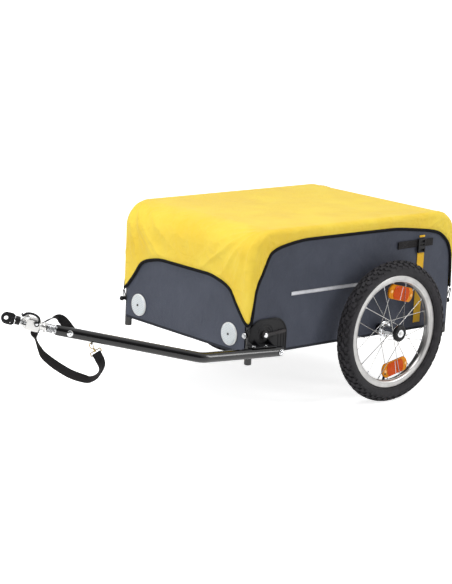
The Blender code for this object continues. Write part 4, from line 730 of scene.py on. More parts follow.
def piece(name, bm, finishes, body, slot, stands_for=(), sharp=35, wall=None):
    mesh = held(bm, name)
    for used in [finishes] if isinstance(finishes, str) else finishes:
        mesh.materials.append(FINISHES[used])
    mesh.shade_smooth()
    mesh.set_sharp_from_angle(angle=math.radians(sharp))
    obj = linked(name, mesh)
    if wall:
        thicken(obj, wall, even=True)
    if body:
        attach(obj, body)
    if stands_for:
        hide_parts(*([stands_for] if isinstance(stands_for, str) else stands_for))
    return obj


# The frames that the drawbar's pieces and the coupling's are built in
DRAWBAR_FRAME = axis_frame(DRAWBAR_END, DRAWBAR_END * 2 - DRAWBAR_BEND)
HITCH_FRAME = axis_frame(DRAWBAR_END, EYE_CENTRE)
HITCH_LENGTH = (EYE_CENTRE - DRAWBAR_END).length


def hook_frame():
    """The snap hook's own frame: X from the foot up to the top of its loop, Z square to that and upright."""
    top = Vector((HOOK_TOP[0], 0, HOOK_TOP[1]))
    foot = Vector((HOOK_FOOT[0], 0, HOOK_FOOT[1]))
    along = (top - foot).normalized()
    left = Vector((0, 1, 0))
    return Matrix.Translation(foot) @ Matrix(
        (along, left, along.cross(left))
    ).transposed().to_4x4(), (top - foot).length


def strap_sections():
    """(middle, width direction, travel) along the strap: its route, then a turn round the ring's bar
    and back along itself."""
    spots = smooth_path([Vector(p[:3]) for p in STRAP_ROUTE], STRAP_STEPS)
    spots = [Vector((x, y, z)) for x, z, y in spots]
    turns = [v.x for v in smooth_path([Vector((p[3], 0, 0)) for p in STRAP_ROUTE], STRAP_STEPS)]
    found = []
    for i, spot in enumerate(spots):
        along = (spots[min(i + 1, len(spots) - 1)] - spots[max(i - 1, 0)]).normalized()
        level = Vector((0, 1, 0))
        level = (level - along * along.y).normalized()
        turn = math.radians(turns[i])
        found.append((spot, level * math.cos(turn) + along.cross(level) * math.sin(turn), along))

    frame, _ = hook_frame()
    travel, across, wide = frame.to_3x3().col
    ring_bar = frame @ Vector((-RING_DEPTH, 0, 0))
    reach = RING_WIRE_R + FIT + STRAP_T / 2
    wide = wide if wide.dot(found[-1][1]) > 0 else -wide
    found.append((ring_bar - across * reach - travel * 0.004, wide, travel))
    for degrees in range(0, 181, 15):
        turn = math.radians(degrees)
        out = travel * math.sin(turn) - across * math.cos(turn)
        found.append((ring_bar + out * reach, wide, travel * math.cos(turn) + across * math.sin(turn)))
    route_end = found[len(spots) - 5][0]
    last = ring_bar - travel * 0.006 - across * (reach - STRAP_T - 4 * FIT)
    found.append((last, wide, -travel))
    heading = (route_end - ring_bar).normalized()
    found.append((last + heading * 0.010, wide, heading))
    return found


def add_strap():
    """The safety strap, which hangs from its bolt in a loop and is hooked back under the drawbar."""
    sections = strap_sections()
    frames = []
    for spot, wide, along in sections:
        thin = along.cross(wide).normalized()
        frames.append(DRAWBAR_FRAME @ section_frame(spot, wide * STRAP_WIDTH / 2, thin * STRAP_T / 2, along))
    bm = swept(frames, 20, square=0.3, half_width=STRAP_WIDTH / 2)
    hole = pin(STRAP_BOLT_X, 0, -0.03, 0, 0.0033, 16)
    bmesh.ops.transform(hole, matrix=DRAWBAR_FRAME, verts=hole.verts)
    strap = piece("webbing_strap", cut(bm, hole), "webbing", "drawbar", "webbing", "safety_strap", 50)


def monotone(points, girth):
    """A smooth curve through (position, value) points with no overshoot, which closes after a girth."""
    spots = sorted(points)
    spots = [(s - girth, v) for s, v in spots[-2:]] + spots + [(s + girth, v) for s, v in spots[:2]]
    gaps = [b[0] - a[0] for a, b in zip(spots, spots[1:])]
    rises = [(b[1] - a[1]) / gap for a, b, gap in zip(spots, spots[1:], gaps)]
    slopes = [rises[0]]
    for left, right, gap, following in zip(rises, rises[1:], gaps, gaps[1:]):
        if left * right <= 0:
            slopes.append(0.0)
        else:
            near, far = 2 * following + gap, following + 2 * gap
            slopes.append((near + far) / (near / left + far / right))
    slopes.append(rises[-1])

    def value(s):
        index = next((i for i, spot in enumerate(spots[1:]) if s <= spot[0]), len(gaps) - 1)
        gap = gaps[index]
        t = (s - spots[index][0]) / gap
        a, b = spots[index][1], spots[index + 1][1]
        return (
            a * (1 + 2 * t) * (1 - t) ** 2 + slopes[index] * gap * t * (1 - t) ** 2
            + b * t * t * (3 - 2 * t) + slopes[index + 1] * gap * t * t * (t - 1)
        )

    return value


# The line round the trailer that the cover hangs from, measured along the cover's outer face
BODY_LENGTH = X_FRONT - X_REAR
BODY_WIDTH = 2 * HALF_WIDTH
CORNER_ARC = COVER_OUT * math.pi / 2
COVER_GIRTH = 2 * (BODY_LENGTH + BODY_WIDTH) + 4 * CORNER_ARC
BEND_ARC = (BEND_R + COVER_OUT) * math.pi / 2
TOP_RUN = 2 * BEND_ARC + BODY_LENGTH - 2 * BEND_R
TOP_SPAN = BODY_WIDTH + 2 * CORNER_ARC


def sides_of_girth():
    """(start, length, leg, direction or None for a corner, turn of the outward side) for each stretch."""
    left, right = HALF_WIDTH, -HALF_WIDTH
    stretches = [
        (BODY_WIDTH, (X_FRONT, right), (0, 1), 0),
        (CORNER_ARC, (X_FRONT, left), None, 0),
        (BODY_LENGTH, (X_FRONT, left), (-1, 0), 90),
        (CORNER_ARC, (X_REAR, left), None, 90),
        (BODY_WIDTH, (X_REAR, left), (0, -1), 180),
        (CORNER_ARC, (X_REAR, right), None, 180),
        (BODY_LENGTH, (X_REAR, right), (1, 0), 270),
        (CORNER_ARC, (X_FRONT, right), None, 270),
    ]
    placed, start = [], 0.0
    for length, leg, direction, facing in stretches:
        placed.append((start, length, leg, direction, facing))
        start += length
    return placed


GIRTH_SIDES = sides_of_girth()


def around(s, reach):
    """The plan point at s along the girth, reach out from the frame's centre line, and the outward side."""
    s %= COVER_GIRTH
    for start, length, leg, direction, facing in GIRTH_SIDES:
        if s <= start + length:
            break
    along = s - start
    if direction is None:
        facing += 90 * along / length
        base = Vector(leg)
    else:
        base = Vector(leg) + Vector(direction) * along
    turn = math.radians(facing)
    out = Vector((math.cos(turn), math.sin(turn)))
    return base + reach * out, out


def hem_controls():
    """(position along the girth, drop below the rail) for each point that shapes the scalloped hem."""
    found = []
    for start, length, leg, direction, facing in GIRTH_SIDES:
        end = start + length
        tip = HEM_DROP_TIP if leg[0] == X_FRONT else HEM_DROP_TIP_REAR
        if direction is None:
            found.append((start + length / 2, tip))
        elif facing in (0, 180):
            found += [(start + d, drop * tip / HEM_DROP_TIP) for d, drop in HEM_DROP_FRONT]
            found += [(end - d, drop * tip / HEM_DROP_TIP) for d, drop in HEM_DROP_FRONT]
        else:
            first, last = HEM_DROP_SIDE_FRONT, HEM_DROP_SIDE_REAR
            if facing == 270:
                first, last = last, first
            found += [(start + d, drop) for d, drop in first]
            found += [(end - d, drop) for d, drop in last]
    return found


def ridge(across, down, angle, start, length, width, height):
    """How far a fold stands out at a place. It runs down and inwards from a corner, angle off upright."""
    turn = math.radians(angle)
    along = across * math.sin(turn) + down * math.cos(turn)
    off = across * math.cos(turn) - down * math.sin(turn) + 0.004 * math.sin(along * 21 + angle)
    share = (along - start) / length
    if not 0 < share < 1:
        return 0.0
    spread = width * (0.7 + 1.1 * share)
    return 2.1 * height * math.sin(math.pi * share ** 0.65) * math.exp(-abs(off / spread) ** 1.15)


# Folds that leave a corner: degrees from upright, start, length, width and height
END_FOLDS = [
    (5, 0.012, 0.20, 0.0045, 0.0020), (14, 0.012, 0.22, 0.0050, 0.0025), (25, 0.020, 0.19, 0.0050, 0.0017),
    (36, 0.012, 0.26, 0.0062, 0.0029), (46, 0.012, 0.29, 0.0062, 0.0031), (57, 0.020, 0.24, 0.0058, 0.0019),
    (72, 0.030, 0.22, 0.0070, 0.0012),
]
SIDE_FOLDS = [
    (-9, 0.010, 0.20, 0.0036, 0.0016), (3, 0.014, 0.19, 0.0042, 0.0021), (14, 0.010, 0.15, 0.0034, 0.0015),
    (29, 0.012, 0.11, 0.0040, 0.0018), (47, 0.012, 0.10, 0.0036, 0.0014), (66, 0.016, 0.12, 0.0040, 0.0013),
]


def smooth_step(low, high, value):
    """From 0 at low to 1 at high, with a soft start and end."""
    share = min(max((value - low) / (high - low), 0.0), 1.0)
    return share * share * (3 - 2 * share)


def end_swell(across, down, seed):
    """Folds that fan out over an end of the cover from both top corners, and slow waves between them."""
    total = 0.0
    for side, reach in ((0, across), (1, BODY_WIDTH - across)):
        for angle, start, length, width, height in END_FOLDS:
            lean = angle + 4 * math.sin(seed * 3.1 + angle + side * 2)
            total += ridge(reach, down - 0.018, lean, start, length, width, height)
    calm = smooth_step(0.02, 0.10, down)
    total += calm * 0.0024 * max(noise.noise(Vector((across * 11, down * 7, seed))), -0.1)
    total += calm * 0.0009 * (0.5 + noise.noise(Vector((across * 38, down * 16, seed + 5))))
    return total


def side_swell(along, down, seed):
    """Folds at both ends of a side of the cover, and the small puckers that the elastic pulls in along it."""
    total = 0.0
    for side, reach in ((0, along), (1, BODY_LENGTH - along)):
        for angle, start, length, width, height in SIDE_FOLDS:
            lean = angle + 5 * math.sin(seed * 2.3 + angle + side)
            total += ridge(reach - 0.020, down + 0.004, lean, start, length, width, height)
    wander = along + 0.012 * noise.noise(Vector((along * 14, down * 9, seed)))
    strength = 0.5 + 0.5 * noise.noise(Vector((along * 9, 0.3, seed + 2)))
    pucker = max(math.sin(2 * math.pi * wander / 0.021 + 3 * math.sin(along * 17 + seed)), 0.0) ** 1.6
    total += 0.0021 * pucker * strength * smooth_step(0.004, 0.016, down)
    total += 0.0012 * (0.5 + noise.noise(Vector((along * 34, down * 26, seed + 7))))
    return total


def hem_gathers(s, rise):
    """Small gathers just above the elastic. rise is the height above the hem."""
    wander = s + 0.004 * noise.noise(Vector((s * 30, 0.1, 3.3)))
    fold = 0.5 + 0.5 * math.sin(2 * math.pi * wander / GATHER_PITCH + 2.2 * math.sin(s * 41))
    uneven = 0.55 + 0.45 * noise.noise(Vector((s * 23, 4.0, 1.0)))
    return 0.0013 * fold * uneven * math.exp(-rise / 0.010)


def hoop_line(t):
    """The hoop's centre line at t along the cover's top, as (x, z), and its outward side as (x, z)."""
    straight = TOP_RUN - 2 * BEND_ARC
    if t < BEND_ARC:
        turn, centre = math.pi / 2 * t / BEND_ARC, X_FRONT - BEND_R
    elif t > BEND_ARC + straight:
        turn, centre = math.pi / 2 * (1 + (t - BEND_ARC - straight) / BEND_ARC), X_REAR + BEND_R
    else:
        return (X_FRONT - BEND_R - (t - BEND_ARC), RAIL_Z), (0.0, 1.0)
    nx, nz = math.cos(turn), math.sin(turn)
    return (centre + BEND_R * nx, BEND_Z + BEND_R * nz), (nx, nz)


def over_edge(w):
    """Across the cover's top at w from the left edge: the place across, and the shares up and sideways."""
    if w < CORNER_ARC:
        turn = math.pi / 2 * (1 - w / CORNER_ARC)
        return HALF_WIDTH, math.cos(turn), math.sin(turn)
    if w > TOP_SPAN - CORNER_ARC:
        turn = math.pi / 2 * (w - TOP_SPAN + CORNER_ARC) / CORNER_ARC
        return -HALF_WIDTH, math.cos(turn), -math.sin(turn)
    return HALF_WIDTH + CORNER_ARC - w, 1.0, 0.0


def cloth_grid(columns, rows, place):
    """A grid of cloth. place takes a share along and a share down, and gives the spot and its flat UV."""
    bm = bmesh.new()
    flat = bm.loops.layers.uv.new("flat")
    bmesh.ops.create_grid(bm, x_segments=columns, y_segments=rows, size=0.5)
    marks = {}
    for v in bm.verts:
        spot, uv = place(min(max(v.co.x + 0.5, 0.0), 1.0), min(max(v.co.y + 0.5, 0.0), 1.0))
        marks[v], v.co = uv, spot
    for face in bm.faces:
        for loop in face.loops:
            loop[flat].uv = marks[loop.vert]
    return bm


def cover_top(along, across):
    """The cover's top for cloth_grid: from the front end's bend, along the hoops, to the rear end's bend."""
    t, w = along * TOP_RUN, across * TOP_SPAN
    (x, z), (nx, nz) = hoop_line(t)
    y, up, side = over_edge(w)
    u = (x - (X_FRONT + X_REAR) / 2) / (BODY_LENGTH / 2 - BEND_R)
    v = y / HALF_WIDTH
    low = 0.0
    if up == 1.0:
        low = COVER_SAG * max(1 - u * u, 0.0) * max(1 - v * v, 0.0)
    edge = smooth_step(
        0.0, 0.10, min(t, TOP_RUN - t) - BEND_ARC,
    ) * smooth_step(0.0, 0.09, HALF_WIDTH - abs(y))
    low -= edge * 0.0022 * (
        noise.noise(Vector((x * 4.5, y * 5.5, 1.7))) + 0.35 * noise.noise(Vector((x * 13, y * 15, 4.2)))
    )
    proud = side_swell(X_FRONT - x, 0.0, 1.0 if side > 0 else 6.0) * abs(side) ** 2
    front, rear = BEND_ARC - t, BEND_ARC - (TOP_RUN - t)
    for down, seed in ((front, 2.0), (rear, 9.0)):
        if down > -0.02:
            swell = end_swell(w - CORNER_ARC, down, seed) * smooth_step(-0.02, 0.03, down)
            proud += swell * (1 - abs(side) ** 2)
    reach = COVER_OUT + proud
    spot = Vector((x + reach * up * nx, y + reach * side, z + reach * up * nz - low))
    return spot, (t, w)


def make_cover_skirts(drop):
    """The left, right, front and rear skirts, as functions of the share along and the share down."""
    left_start, rear_start, right_start = GIRTH_SIDES[2][0], GIRTH_SIDES[4][0], GIRTH_SIDES[6][0]

    def side(seed, sign, girth_at):
        def place(along, down):
            t = along * TOP_RUN
            (x, top), _ = hoop_line(t)
            s = girth_at(x)
            foot = RAIL_Z - drop(s)
            z = top + (foot - top) * down
            proud = side_swell(X_FRONT - x, top - z, seed)
            rise = z - foot
            gathers = hem_gathers(s, rise) * smooth_step(0.0, 0.008, top - z)
            proud = proud * smooth_step(0.0, 0.012, rise) + gathers
            y = sign * (HALF_WIDTH + COVER_OUT + proud)
            return Vector((x, y, z)), (
                BEND_ARC + X_FRONT - BEND_R - x, -(RAIL_Z - z) if sign > 0 else TOP_SPAN + RAIL_Z - z,
            )

        return place

    def end(seed, facing, girth_at):
        def place(along, down):
            w = along * TOP_SPAN
            y, up, side_share = over_edge(w)
            s = girth_at(w)
            foot = RAIL_Z - drop(s)
            z = BEND_Z + (foot - BEND_Z) * down
            rise = z - foot
            turn = abs(side_share) ** 2
            proud = end_swell(w - CORNER_ARC, BEND_ARC + BEND_Z - z, seed) * (1 - turn)
            proud += side_swell(
                (0.0 if facing > 0 else BODY_LENGTH), BEND_Z - z, 1.0 if y > 0 else 6.0,
            ) * turn
            proud = proud * smooth_step(0.0, 0.012, rise) + hem_gathers(s, rise)
            reach = COVER_OUT + proud
            x = (X_FRONT if facing > 0 else X_REAR) + facing * reach * up
            return Vector((x, y + reach * side_share, z)), (
                z - BEND_Z if facing > 0 else TOP_RUN + BEND_Z - z, w,
            )

        return place

    def front_girth(w):
        return (BODY_WIDTH + CORNER_ARC - w) % COVER_GIRTH

    def rear_girth(w):
        return rear_start - CORNER_ARC + w

    return [
        side(1.0, 1, lambda x: left_start + X_FRONT - x),
        side(6.0, -1, lambda x: right_start + x - X_REAR),
        end(2.0, 1, front_girth),
        end(9.0, -1, rear_girth),
    ]


def hem_frames(drop, reach, below, step, wide, thin, gather=0.0):
    """Sections along the hem, below the cloth's edge and square to it."""
    frames = []
    count = int(COVER_GIRTH / step)
    for i in range(count):
        s = COVER_GIRTH * i / count
        slope = -(drop((s + 0.002) % COVER_GIRTH) - drop((s - 0.002) % COVER_GIRTH)) / 0.004
        length = math.hypot(1.0, slope)
        shifted = s + below * slope / length
        flat, out = around(shifted, reach)
        side = Vector((-out.y, out.x, 0))
        along = (side + Vector((0, 0, slope))).normalized()
        out = Vector((*out, 0))
        up = out.cross(along).normalized()
        swell = 1 + gather * (math.sin(s * 2 * math.pi / GATHER_PITCH) + 0.6 * math.sin(s * 171))
        spot = Vector((*flat, RAIL_Z - drop(s) - below / length))
        frames.append(section_frame(spot, up * wide, out * thin * swell, along))
    return frames


def add_cover():
    """The rain cover: one cloth over the whole tub, held down by an elastic hem and four elastic loops."""
    drop = monotone(hem_controls(), COVER_GIRTH)
    long_cut, wide_cut = 172, 122
    bm = cloth_grid(long_cut, wide_cut, cover_top)
    left, right, front, rear = make_cover_skirts(drop)
    for place, columns in ((left, long_cut), (right, long_cut), (front, wide_cut), (rear, wide_cut)):
        put(bm, cloth_grid(columns, 30, place))
    bmesh.ops.remove_doubles(bm, verts=bm.verts, dist=2e-5)
    bmesh.ops.recalc_face_normals(bm, faces=bm.faces)
    cloth = "cover_cloth", "cover", "cover_fabric"
    cover = piece("rain_cover_cloth", bm, *cloth, "rain_cover", 60, wall=COVER_T)

    frames = hem_frames(drop, HEM_REACH, 0.0036, 0.0030, HEM_HALF_WIDTH, 0.0022, 0.035)
    hem = swept(frames, 12, closed=True, square=0.7, half_width=HEM_HALF_WIDTH)
    hem = piece("elastic_hem_binding", hem, "elastic", "cover", "elastic", "elastic_hem", 60)
    stitches = bmesh.new()
    for frame in hem_frames(drop, HEM_REACH + 0.00225, 0.0012, 0.0034, 0.0004, 0.0003):
        stitch = block((-0.00035, -0.00022, -0.0011), (0.00035, 0.00022, 0.0011))
        scaled = frame @ Matrix.Diagonal((1 / 0.0004, 1 / 0.0003, 1, 1))
        put(stitches, stitch, scaled)
    seam = piece("hem_stitches", stitches, "thread", "cover", "elastic")


def tub_mask(x, z):
    """Where a side panel is free of the tube frame and of what is fastened to it, from 0 to 1."""
    from_legs = smooth_step(0.014, 0.06, min(X_FRONT - x, x - X_REAR))
    return from_legs * smooth_step(0.222, 0.26, z) * smooth_step(0.470, 0.440, z)


def side_panel_place(sign):
    """A side panel for cloth_grid: its upper edge follows the hoop, and its middle is a little slack."""
    bend = PANEL_BEND_R * math.pi / 2
    run = 2 * bend + BODY_LENGTH - 2 * BEND_R

    def place(along, down):
        t = along * run
        if t < bend or t > run - bend:
            turn = min(t, run - t) / PANEL_BEND_R
            x, top = PANEL_BEND_R * math.cos(turn), BEND_Z + PANEL_BEND_R * math.sin(turn)
            x = X_FRONT - BEND_R + x if t < bend else X_REAR + BEND_R - x
        else:
            x, top = X_FRONT - BEND_R - (t - bend), RAIL_Z - 0.002
        z = top + (PANEL_FOOT_Z - top) * down
        slack = PANEL_SLACK * tub_mask(x, z) * (0.5 + 0.5 * noise.noise(Vector((x * 9, z * 11, 3.0 + sign))))
        return Vector((x, sign * (HALF_WIDTH + PANEL_OUT - slack), z)), (x, z)

    return place


def end_panel_place(x_leg, facing):
    """An end panel for cloth_grid: it starts on the hoops' bends, and its middle is a little slack."""
    reach = HALF_WIDTH - 0.0038
    base, out = x_leg - facing * BEND_R, BEND_R + PANEL_OUT
    bend = out * END_PANEL_TURN
    run = bend + BEND_Z - PANEL_FOOT_Z

    def place(along, down):
        y = reach * (1 - 2 * along)
        t = down * run
        if t < bend:
            turn = END_PANEL_TURN - t / out
            spot = Vector((base + facing * out * math.cos(turn), y, BEND_Z + out * math.sin(turn)))
            return spot, (y, BEND_Z + bend - t)
        z = BEND_Z - (t - bend)
        free = smooth_step(0.014, 0.05, reach - abs(y)) * smooth_step(0.262, 0.30, z)
        free *= smooth_step(BEND_Z, BEND_Z - 0.03, z)
        slack = PANEL_SLACK * free * (0.5 + 0.5 * noise.noise(Vector((y * 9, z * 11, 7.0 + facing))))
        return Vector((base + facing * (out - slack), y, z)), (y, z)

    return place


def foot_binding(start, end, out, count=80):
    """A slate binding folded round a panel's lower edge, from its start to its end in plan."""
    start, end, out = Vector(start), Vector(end), Vector(out)
    middle_z = (FOOT_BINDING_LOW + FOOT_BINDING_HIGH) / 2
    half = (FOOT_BINDING_HIGH - FOOT_BINDING_LOW) / 2
    along = (end - start).normalized()
    frames = []
    for i in range(count + 1):
        spot = start.lerp(end, i / count)
        frames.append(section_frame(Vector((*spot.xy, middle_z)), Vector((0, 0, half)), out * 0.00135, along))
    return swept(frames, 12, square=0.45, half_width=half)


def bound_panel(name, cloth, outwards, start, end):
    """One cloth panel of the tub, and the binding along its lower edge from start to end."""
    edge = foot_binding(start, end, outwards)
    return (
        piece(f"{name}_cloth", cloth, "tub_cloth", "frame", "panel_fabric", name, 40),
        piece(f"{name}_binding", edge, "binding", "frame", "elastic", sharp=60),
    )


def add_tub():
    """The four cloth panels of the tub, and the strips and bands that are sewn to its sides."""
    for side, sign in SIDES:
        out = (0, sign, 0)
        hole = pin(AXLE_X, AXLE_Z, sign * 0.24, sign * 0.29, 0.0116, 32)
        cloth = cut(walled(joined(cloth_grid(132, 40, side_panel_place(sign))), PANEL_T, out), hole)
        middle = sign * (HALF_WIDTH + PANEL_MIDDLE)
        ends = (X_FRONT - 0.003, middle, 0), (X_REAR + 0.003, middle, 0)
        panel, binding = bound_panel(f"{side}_panel", cloth, out, *ends)
        add_sewn_strips(side, sign)
    for end, x_leg, facing in ENDS:
        out = (facing, 0, 0)
        cloth = walled(joined(cloth_grid(92, 48, end_panel_place(x_leg, facing))), PANEL_T, out)
        middle, reach = x_leg + facing * PANEL_MIDDLE, HALF_WIDTH - 0.0048
        panel, binding = bound_panel(f"{end}_panel", cloth, out, (middle, reach, 0), (middle, -reach, 0))


def walled(bm, wall, outwards):
    """An open sheet of cloth given its thickness, inwards from the face that looks outwards."""
    outwards = Vector(outwards)
    if sum(face.normal.dot(outwards) * face.calc_area() for face in bm.faces) < 0:
        bmesh.ops.reverse_faces(bm, faces=bm.faces)
    sheet = linked("sheet", held(bm))
    thicken(sheet, wall)
    bm = evaluated(sheet)
    bpy.data.objects.remove(sheet)
    return bm


def ribbon(corners, out, thick, square=0.35, steps=40):
    """A flat strip along two ends: (start, end, half width direction)."""
    start, end, wide = (Vector(c) for c in corners)
    out = Vector(out)
    along = (end - start).normalized()
    frames = [
        section_frame(start.lerp(end, i / steps), wide, out * thick / 2, along)
        for i in range(steps + 1)
    ]
    return swept(frames, 16, square=square, half_width=wide.length)


def stitch_row(start, end, out, count, long=0.0022):
    """A row of short stitches lying on cloth."""
    start, end, out = Vector(start), Vector(end), Vector(out)
    along = (end - start).normalized()
    side = out.cross(along)
    bm = bmesh.new()
    for i in range(count):
        spot = start.lerp(end, (i + 0.5) / count)
        stitch = rounded(block((-0.0003, -0.0002, -long / 2), (0.0003, 0.0002, long / 2)), 0.00012, 1)
        put(bm, stitch, section_frame(spot, side, out, along))
    return bm


def add_sewn_strips(side, sign):
    """The reflective strip and the webbing band that are sewn to a side panel."""
    face = sign * (HALF_WIDTH + PANEL_OUT)
    out = (0, sign, 0)
    y, seam_y = face + sign * 0.0004, face + sign * 0.0004 + sign * 0.0004
    strip = ribbon(((-0.068, y, 0.331), (-0.456, y, 0.331), (0, 0, 0.005)), out, 0.0006, 0.2)
    piece(f"{side}_reflective_strip", strip, "tape", "frame", "panel_fabric")
    seams = bmesh.new()
    for z in (0.3272, 0.3348):
        put(seams, stitch_row((-0.069, seam_y, z), (-0.455, seam_y, z), out, 110))
    piece(f"{side}_strip_stitches", seams, "thread", "frame", "elastic")

    y, seam_y = face + sign * 0.0007, face + sign * 0.0007 + sign * 0.0007
    band = ribbon(((BAND_X, y, 0.197), (BAND_X, y, 0.407), (0.0135, 0, 0)), out, 0.0011, 0.2)
    x = BAND_X - 0.002
    put(band, ribbon(((x, y, 0.4425), (x, y, 0.4480), (0.0105, 0, 0)), out, 0.0011, 0.2, 4))
    piece(f"{side}_webbing_band", band, "band", "frame", "cover_fabric")
    seams = bmesh.new()
    for x in (BAND_X - 0.0112, BAND_X + 0.0112):
        put(seams, stitch_row((x, seam_y, 0.199), (x, seam_y, 0.397), out, 66))
    put(seams, stitch_row((BAND_X - 0.011, seam_y, 0.2), (BAND_X + 0.011, seam_y, 0.2), out, 7))
    piece(f"{side}_band_stitches", seams, "thread_yellow", "frame", "cover_fabric")


def flat_map(bm, first, second):
    """A UV map in metres, seen along the third axis."""
    flat = bm.loops.layers.uv.new("flat")
    for face in bm.faces:
        for loop in face.loops:
            loop[flat].uv = (loop.vert.co[first], loop.vert.co[second])
    return bm


def add_frame_tubes():
    """The painted tube frame, its axle sleeves, the plugs in its feet and the floor board."""
    front = arc((X_FRONT - BEND_R, BEND_Z), BEND_R, 0, 90, 20)
    rear = arc((X_REAR + BEND_R, BEND_Z), BEND_R, 90, 180, 20)
    line = [(X_FRONT, LEG_FOOT_Z + 0.001)] + front + rear + [(X_REAR, LEG_FOOT_Z + 0.001)]
    gap = TUBE_R + FIT
    for side, sign in SIDES:
        y = sign * HALF_WIDTH
        hoop = bar([(x, y, z) for x, z in line], TUBE_R, 28)
        piece(f"{side}_hoop_tube", hoop, "powder_coat", "frame", "frame_black", f"{side}_hoop")
        plugs = bmesh.new()
        plug = [
            (0, 0.0), (0.0070, 0.0), (0.0086, 0.0006), (0.0095, 0.0018), (0.0085, 0.0019), (0.0085, 0.006),
            (0, 0.006),
        ]
        for x in (X_FRONT, X_REAR):
            put(plugs, turned(plug, 28, "Z"), at(x, y, LEG_FOOT_Z - 0.0009))
        piece(f"{side}_foot_plugs", plugs, "nylon", "frame", "black_plastic")
        rail = bar([(X_REAR + gap, y, AXLE_Z), (X_FRONT - gap, y, AXLE_Z)], TUBE_R, 28)
        sleeve = [
            (0.00665, 0.205), (0.0102, 0.205), (0.011, 0.2058), (0.011, 0.2860), (0.0102, 0.2868),
            (0.00665, 0.2868),
        ]
        sleeve = turned(sleeve, 40, "Y", ring=True)
        put(rail, sleeve, at(AXLE_X, 0, AXLE_Z) @ Matrix.Diagonal((1, sign, 1, 1)))
        piece(f"{side}_floor_rail_tube", rail, "powder_coat", "frame", "frame_black", f"{side}_floor_rail")
    reach = HALF_WIDTH - TUBE_R - FIT
    lean = math.radians(30)
    for end, x, facing in ENDS:
        top_x, top_z = x - facing * (BEND_R - BEND_R * math.sin(lean)), BEND_Z + BEND_R * math.cos(lean)
        top = bar([(top_x, -reach, top_z), (top_x, reach, top_z)], 0.009, 28)
        piece(f"{end}_top_bar_tube", top, "powder_coat", "frame", "frame_black", f"{end}_top_bar")
        floor = bar([(x, -reach, AXLE_Z), (x, reach, AXLE_Z)], TUBE_R, 28)
        piece(f"{end}_floor_bar_tube", floor, "powder_coat", "frame", "frame_black", f"{end}_floor_bar")

    low = AXLE_Z + 0.011 + FIT
    side_y = HALF_WIDTH + TUBE_R - FIT
    board = block((X_REAR + gap, -side_y, low), (X_FRONT - gap, side_y, low + 0.006), 0.0008, 2)
    piece("ribbed_floor_board", board, "board", "frame", "floor_board", "floor_board")


def add_fasteners():
    """The knobs and the bolt that the cover's loops go round, with the loops."""
    half = 0.003 + FIT + 0.0015
    diagonal = 0.0158 / math.sqrt(2)
    knob = [
        (0, 0.0103), (0.0075, 0.0103), (0.0075, 0.0112), (0.0036, 0.0120), (0.003, 0.0128), (0.003, 0.0196),
    ]
    turns = [math.radians(a) for a in range(28, 181, 8)]
    knob += [(0.007 * math.sin(a), 0.026 - 0.007 * math.cos(a)) for a in turns]
    screw = [
        (0, 0.0103), (0.003, 0.0103), (0.003, 0.0160), (0.0072, 0.0160), (0.0076, 0.0164), (0.0072, 0.0172),
        (0, 0.0172),
    ]
    stud = [
        (0, 0.0103), (0.003, 0.0103), (0.003, 0.0164), (0.0060, 0.0164), (0.0065, 0.0169), (0.0062, 0.0182),
        (0.0040, 0.0194), (0, 0.0197),
    ]
    rear = X_REAR, -1, KNOB_REAR_Z, HEM_DROP_TIP_REAR
    front = X_FRONT, 1, KNOB_Z, HEM_DROP_TIP
    for corner, side, (x, facing, height, drop) in (
        ("front_left", 1, front), ("front_right", -1, front),
        ("rear_left", 1, rear), ("rear_right", -1, rear),
    ):
        place = on_end(x, side * HALF_WIDTH, height, facing)
        if corner == "front_left":
            shape = turned(screw, 32, "Z")
            put(shape, rod((0, 0, 0.0170), (0, 0, 0.0214), 0.0052, 6, 0.0005))
            name, look, slot = "corner_screw_front_left", "zinc", "steel"
        else:
            shape = turned(knob if facing > 0 else stud, 32, "Z")
            name, look, slot = f"corner_knob_{corner}", "nylon", "black_plastic"
        piece(name, placed(shape, place), look, "frame", slot, f"knob_{corner}")
        top = RAIL_Z - drop - 0.0049 - 0.0032 - FIT - 0.0015 - height
        centre = (side * facing * diagonal, top - 0.0022)
        heading = math.degrees(math.atan2(centre[1], centre[0]))
        loop = [(a, b, 0.0146) for a, b in arc((0, 0), half, heading + 90, heading + 270, 14)]
        loop += [(a, b, diagonal) for a, b in arc(centre, 0.0022, heading - 90, heading + 90, 10)]
        cord_line = smooth_path([Vector(p) for p in loop + loop[:1]], 3)[:-1]
        cord = placed(bar(cord_line, 0.0015, 12, closed=True), place)
        piece(f"elastic_loop_{corner}", cord, "elastic_cord", "frame", "elastic", f"elastic_tie_{corner}")


